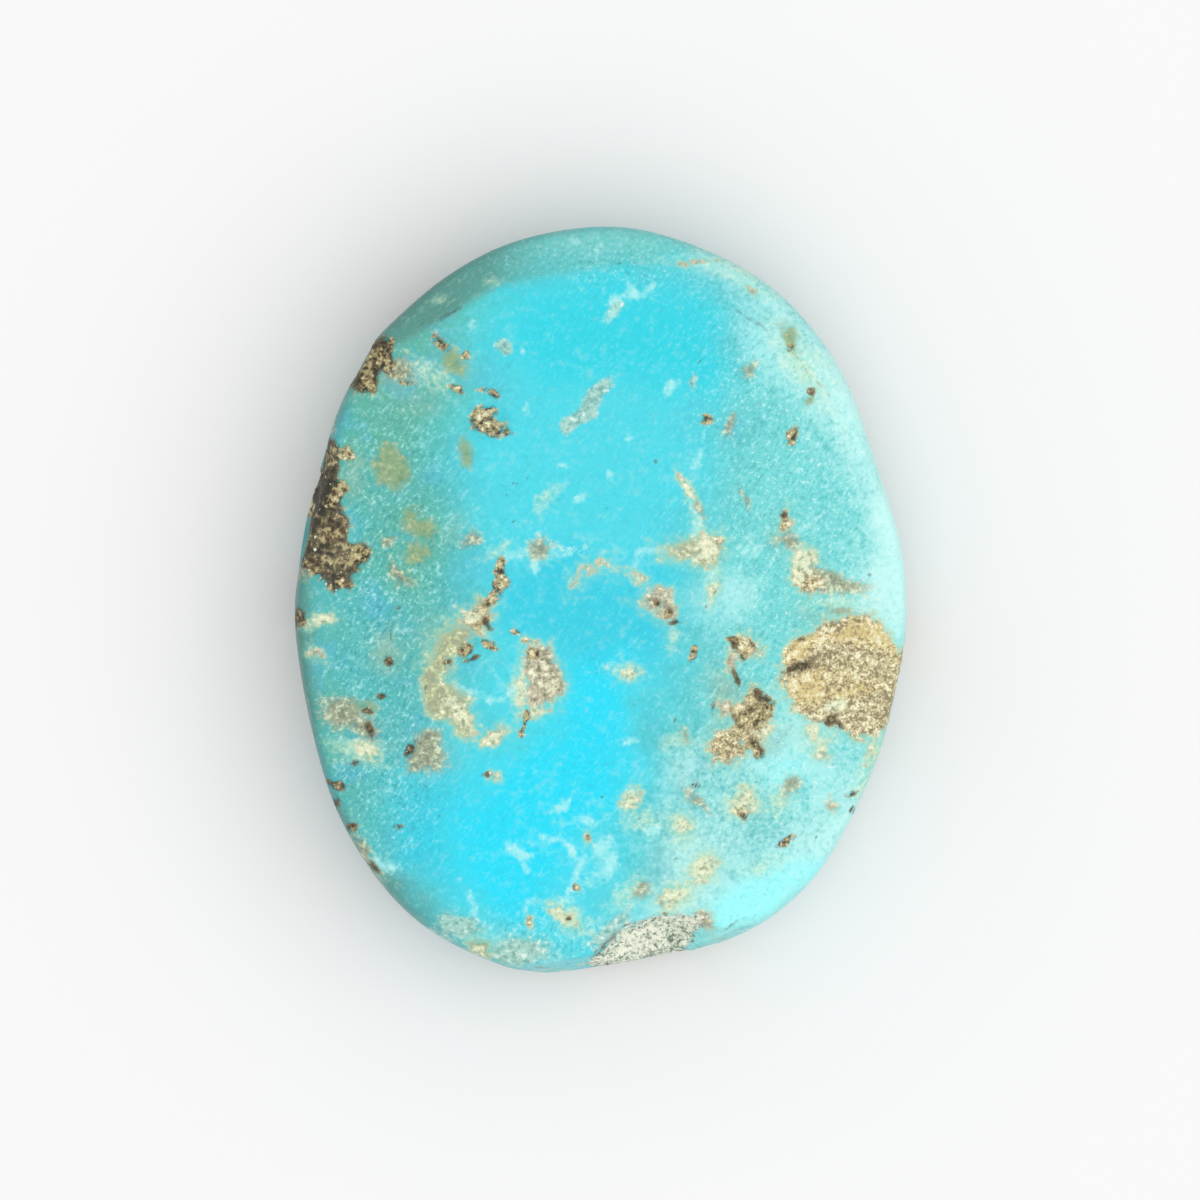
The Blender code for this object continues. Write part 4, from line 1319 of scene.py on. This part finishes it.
class StoneLook(PropertyGroup):
    """Colours and finish of the stone."""

    teal: colour_property("Teal", "The left flank", 82, 189, 190)
    green: colour_property("Green", "The greener turquoise on the left", 94, 183, 162)
    aqua: colour_property("Aqua", "The right half", 114, 219, 218)
    # Mint is partly painted light, on the right rim and the bevels that face the key
    mint: colour_property("Mint", "Chalky turquoise on the right", 204, 255, 250)
    sky: colour_property("Sky blue", "The band along the middle", 70, 220, 235)
    cyan: colour_property("Cyan", "The patch at the top", 24, 216, 233)
    blue: colour_property("Blue", "The patch in the middle", 28, 206, 231)
    deep: colour_property("Deep blue", "The heart of the band", 10, 225, 252)
    patch: colour_property("Blue patches", "Bluer turquoise in the flanks", 84, 186, 208)
    ice: colour_property("Ice", "The bevel on the lower right", 158, 255, 255)
    smoke: colour_property("Smoke", "Duller stone round the matrix", 142, 192, 174)
    facet: colour_property("Facet", "The bevel at the top", 110, 208, 200)
    # Grey-green is painted shade, for the upper left bevel and the left rim that turn away from the
    # light
    grey: colour_property("Grey-green", "The upper left bevel and the left rim", 93, 151, 138)
    edge: colour_property("Edge", "The edge away from the light", 52, 104, 104)
    # White is also the colour of the painted glints on the grainy stone
    white: colour_property("White", "Sparks and scratches", 240, 254, 250)
    milk: colour_property("Milk", "The light grain, wisps and veins", 172, 244, 242)
    shade: colour_property("Shade", "The dark grain", 58, 152, 156)
    film: colour_property("Film", "Grey-green slivers", 170, 214, 200)
    lichen: colour_property("Lichen", "The dark grain of the film", 126, 172, 160)
    haze: colour_property("Haze", "Round the stains", 158, 218, 194)
    halo: colour_property("Halo", "Close round the matrix", 188, 216, 180)
    chalk: colour_property("Chalk", "Chalky stains", 222, 246, 214)
    moss: colour_property("Moss", "The darker part of the olive stains", 120, 152, 112)
    olive: colour_property("Olive", "Thin stains", 144, 174, 130)
    straw: colour_property("Straw", "Thin matrix", 190, 198, 148)
    buff: colour_property("Buff", "Soft brownish stains", 164, 164, 132)
    pink: colour_property("Pinkish grey", "Soft matrix", 198, 188, 160)
    cream: colour_property("Cream", "Pale matrix", 222, 233, 197)
    # Light is also the colour of the painted glints on the dark matrix
    light: colour_property("Light", "The palest grains of the matrix", 255, 252, 218)
    tan: colour_property("Tan", "The large patch", 208, 194, 150)
    ochre: colour_property("Ochre", "The golden parts of the large patch", 226, 204, 140)
    umber: colour_property("Umber", "The dark grains of the tan matrix", 150, 134, 104)
    brown: colour_property("Brown", "The dark grains of the soft matrix", 132, 124, 98)
    bark: colour_property("Bark", "The lighter part of the dark matrix", 108, 94, 70)
    dark: colour_property("Dark brown", "The dark matrix", 60, 50, 36)
    gold: colour_property("Gold", "Pyrite", 194, 180, 132)
    stone: colour_property("Stone grey", "The dark grain of the break", 122, 142, 130)
    bone: colour_property("Bone", "The break", 214, 222, 198)
    snow: colour_property("Snow", "The palest crystals of the break", 255, 255, 236)
    gloss: FloatProperty(
        name="Roughness", description="Of polished turquoise", default=0.34, min=0, max=1
    )
    grain_depth: strength_property("Grain depth", "How strong the fine grain is", 0.5)


class StudioSettings(PropertyGroup):
    """The floor, the light and the camera."""

    floor: FloatVectorProperty(
        name="Floor",
        description="Colour of the floor",
        subtype="COLOR",
        default=(0.735, 0.735, 0.735),
        min=0,
        max=1,
    )
    floor_side: length_property("Floor side", "Side of the floor", 3.0)
    fill: strength_property("Fill light", "Brightness of the room", 0.95)
    key: strength_property("Key light", "Strength of the key light", 1.21)
    key_softness: angle_property("Key softness", "How wide the key light is", 80)
    key_bearing: angle_property("Key bearing", "Where the key light stands", -30)
    key_height: angle_property("Key height", "How high the key light stands", 65)
    view_width: length_property("View width", "Width of the view at the stone", 48 * MM)
    lens: FloatProperty(
        name="Lens", description="Focal length of the camera", default=300, unit="CAMERA"
    )


class NUGGET_OT_stone(Operator):
    """Build the stone, and hide the plain solid that it stands for"""

    bl_idname = "nugget.stone"
    bl_label = "Turquoise stone"

    def execute(self, context):
        shape = context.scene.nugget_shape
        points, faces = stone_net(shape.rings // 4 * 4, shape.length / MM, shape.width / MM)
        points = grind(points)
        mesh = bpy.data.meshes.new("polished_turquoise")
        mesh.from_pydata(points, [], faces)
        normals = vertex_array(mesh.vertex_normals, "vector", len(points))
        depths = markings(points, shape.length / MM, shape.width / MM)
        lower = relief(points, shape.wear, shape.ridge_height / MM)
        lower += shape.wear * pits(points, depths)
        points -= normals * lower[:, None]
        points[:, 2] = np.maximum(points[:, 2], -GIRDLE_HEIGHT)
        store(mesh, depths)
        mesh.vertices.foreach_set("co", ((points + (0, 0, GIRDLE_HEIGHT)) * MM).ravel())
        mesh.update()
        mesh.shade_smooth()
        mesh.materials.append(turquoise_material(context.scene.nugget_look))

        stone = bpy.data.objects.new("polished_turquoise", mesh)
        context.scene.collection.objects.link(stone)
        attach(stone, "root")
        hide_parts(STONE)
        return {"FINISHED"}


class NUGGET_OT_studio(Operator):
    """Lay a plain pale floor, light it softly, and look straight down on the stone"""

    bl_idname = "nugget.studio"
    bl_label = "Studio"

    def execute(self, context):
        studio = context.scene.nugget_studio
        half = studio.floor_side / 2
        corners = [(-half, -half, 0), (half, -half, 0), (half, half, 0), (-half, half, 0)]
        mesh = bpy.data.meshes.new("floor")
        mesh.from_pydata(corners, [], [(0, 1, 2, 3)])
        material = bpy.data.materials.new("pale floor")
        graph = Graph(material)
        colour = (*studio.floor, 1)
        matt = {"Base Color": colour, "Roughness": FLOOR_ROUGHNESS, "Specular IOR Level": 0.0}
        graph.fill(graph.shader, matt)
        mesh.materials.append(material)
        floor = bpy.data.objects.new("floor", mesh)
        context.scene.collection.objects.link(floor)

        world = bpy.data.worlds.new("studio")
        world.use_nodes = True
        world.node_tree.nodes["Background"].inputs["Color"].default_value = (1, 1, 1, 1)
        world.node_tree.nodes["Background"].inputs["Strength"].default_value = studio.fill
        context.scene.world = world

        light = bpy.data.lights.new("key", "SUN")
        light.energy = studio.key
        light.angle = studio.key_softness
        key = bpy.data.objects.new("key", light)
        key.rotation_euler = (0, math.pi / 2 - studio.key_height, studio.key_bearing)
        context.scene.collection.objects.link(key)

        camera = bpy.data.objects.new("camera", bpy.data.cameras.new("camera"))
        camera.data.lens = studio.lens
        camera.data.clip_start = NEAREST_SEEN
        distance = studio.view_width * studio.lens / camera.data.sensor_width
        camera.location = (0, 0, distance + GIRDLE_HEIGHT * MM)
        context.scene.collection.objects.link(camera)
        context.scene.camera = camera
        context.scene.view_settings.view_transform = "Standard"
        return {"FINISHED"}


class NUGGET_PT_panel(Panel):
    """Sizes, colours and studio of the turquoise nugget"""

    bl_idname = "NUGGET_PT_panel"
    bl_label = "Turquoise Nugget"
    bl_space_type = "VIEW_3D"
    bl_region_type = "UI"
    bl_category = "Turquoise Nugget"

    def draw(self, context):
        scene = context.scene
        for settings, operator in (
            (scene.nugget_shape, None),
            (scene.nugget_look, NUGGET_OT_stone),
            (scene.nugget_studio, NUGGET_OT_studio),
        ):
            for name in settings.__annotations__:
                self.layout.prop(settings, name)
            if operator:
                self.layout.operator(operator.bl_idname)


CLASSES = (StoneShape, StoneLook, StudioSettings, NUGGET_OT_stone, NUGGET_OT_studio, NUGGET_PT_panel)


def register():
    for cls in CLASSES:
        bpy.utils.register_class(cls)
    bpy.types.Scene.nugget_shape = PointerProperty(type=StoneShape)
    bpy.types.Scene.nugget_look = PointerProperty(type=StoneLook)
    bpy.types.Scene.nugget_studio = PointerProperty(type=StudioSettings)


def unregister():
    for name in ("nugget_shape", "nugget_look", "nugget_studio"):
        delattr(bpy.types.Scene, name)
    for cls in reversed(CLASSES):
        bpy.utils.unregister_class(cls)


def main():
    register()
    bpy.ops.nugget.stone()
    bpy.ops.nugget.studio()


if __name__ == "__main__":
    main()
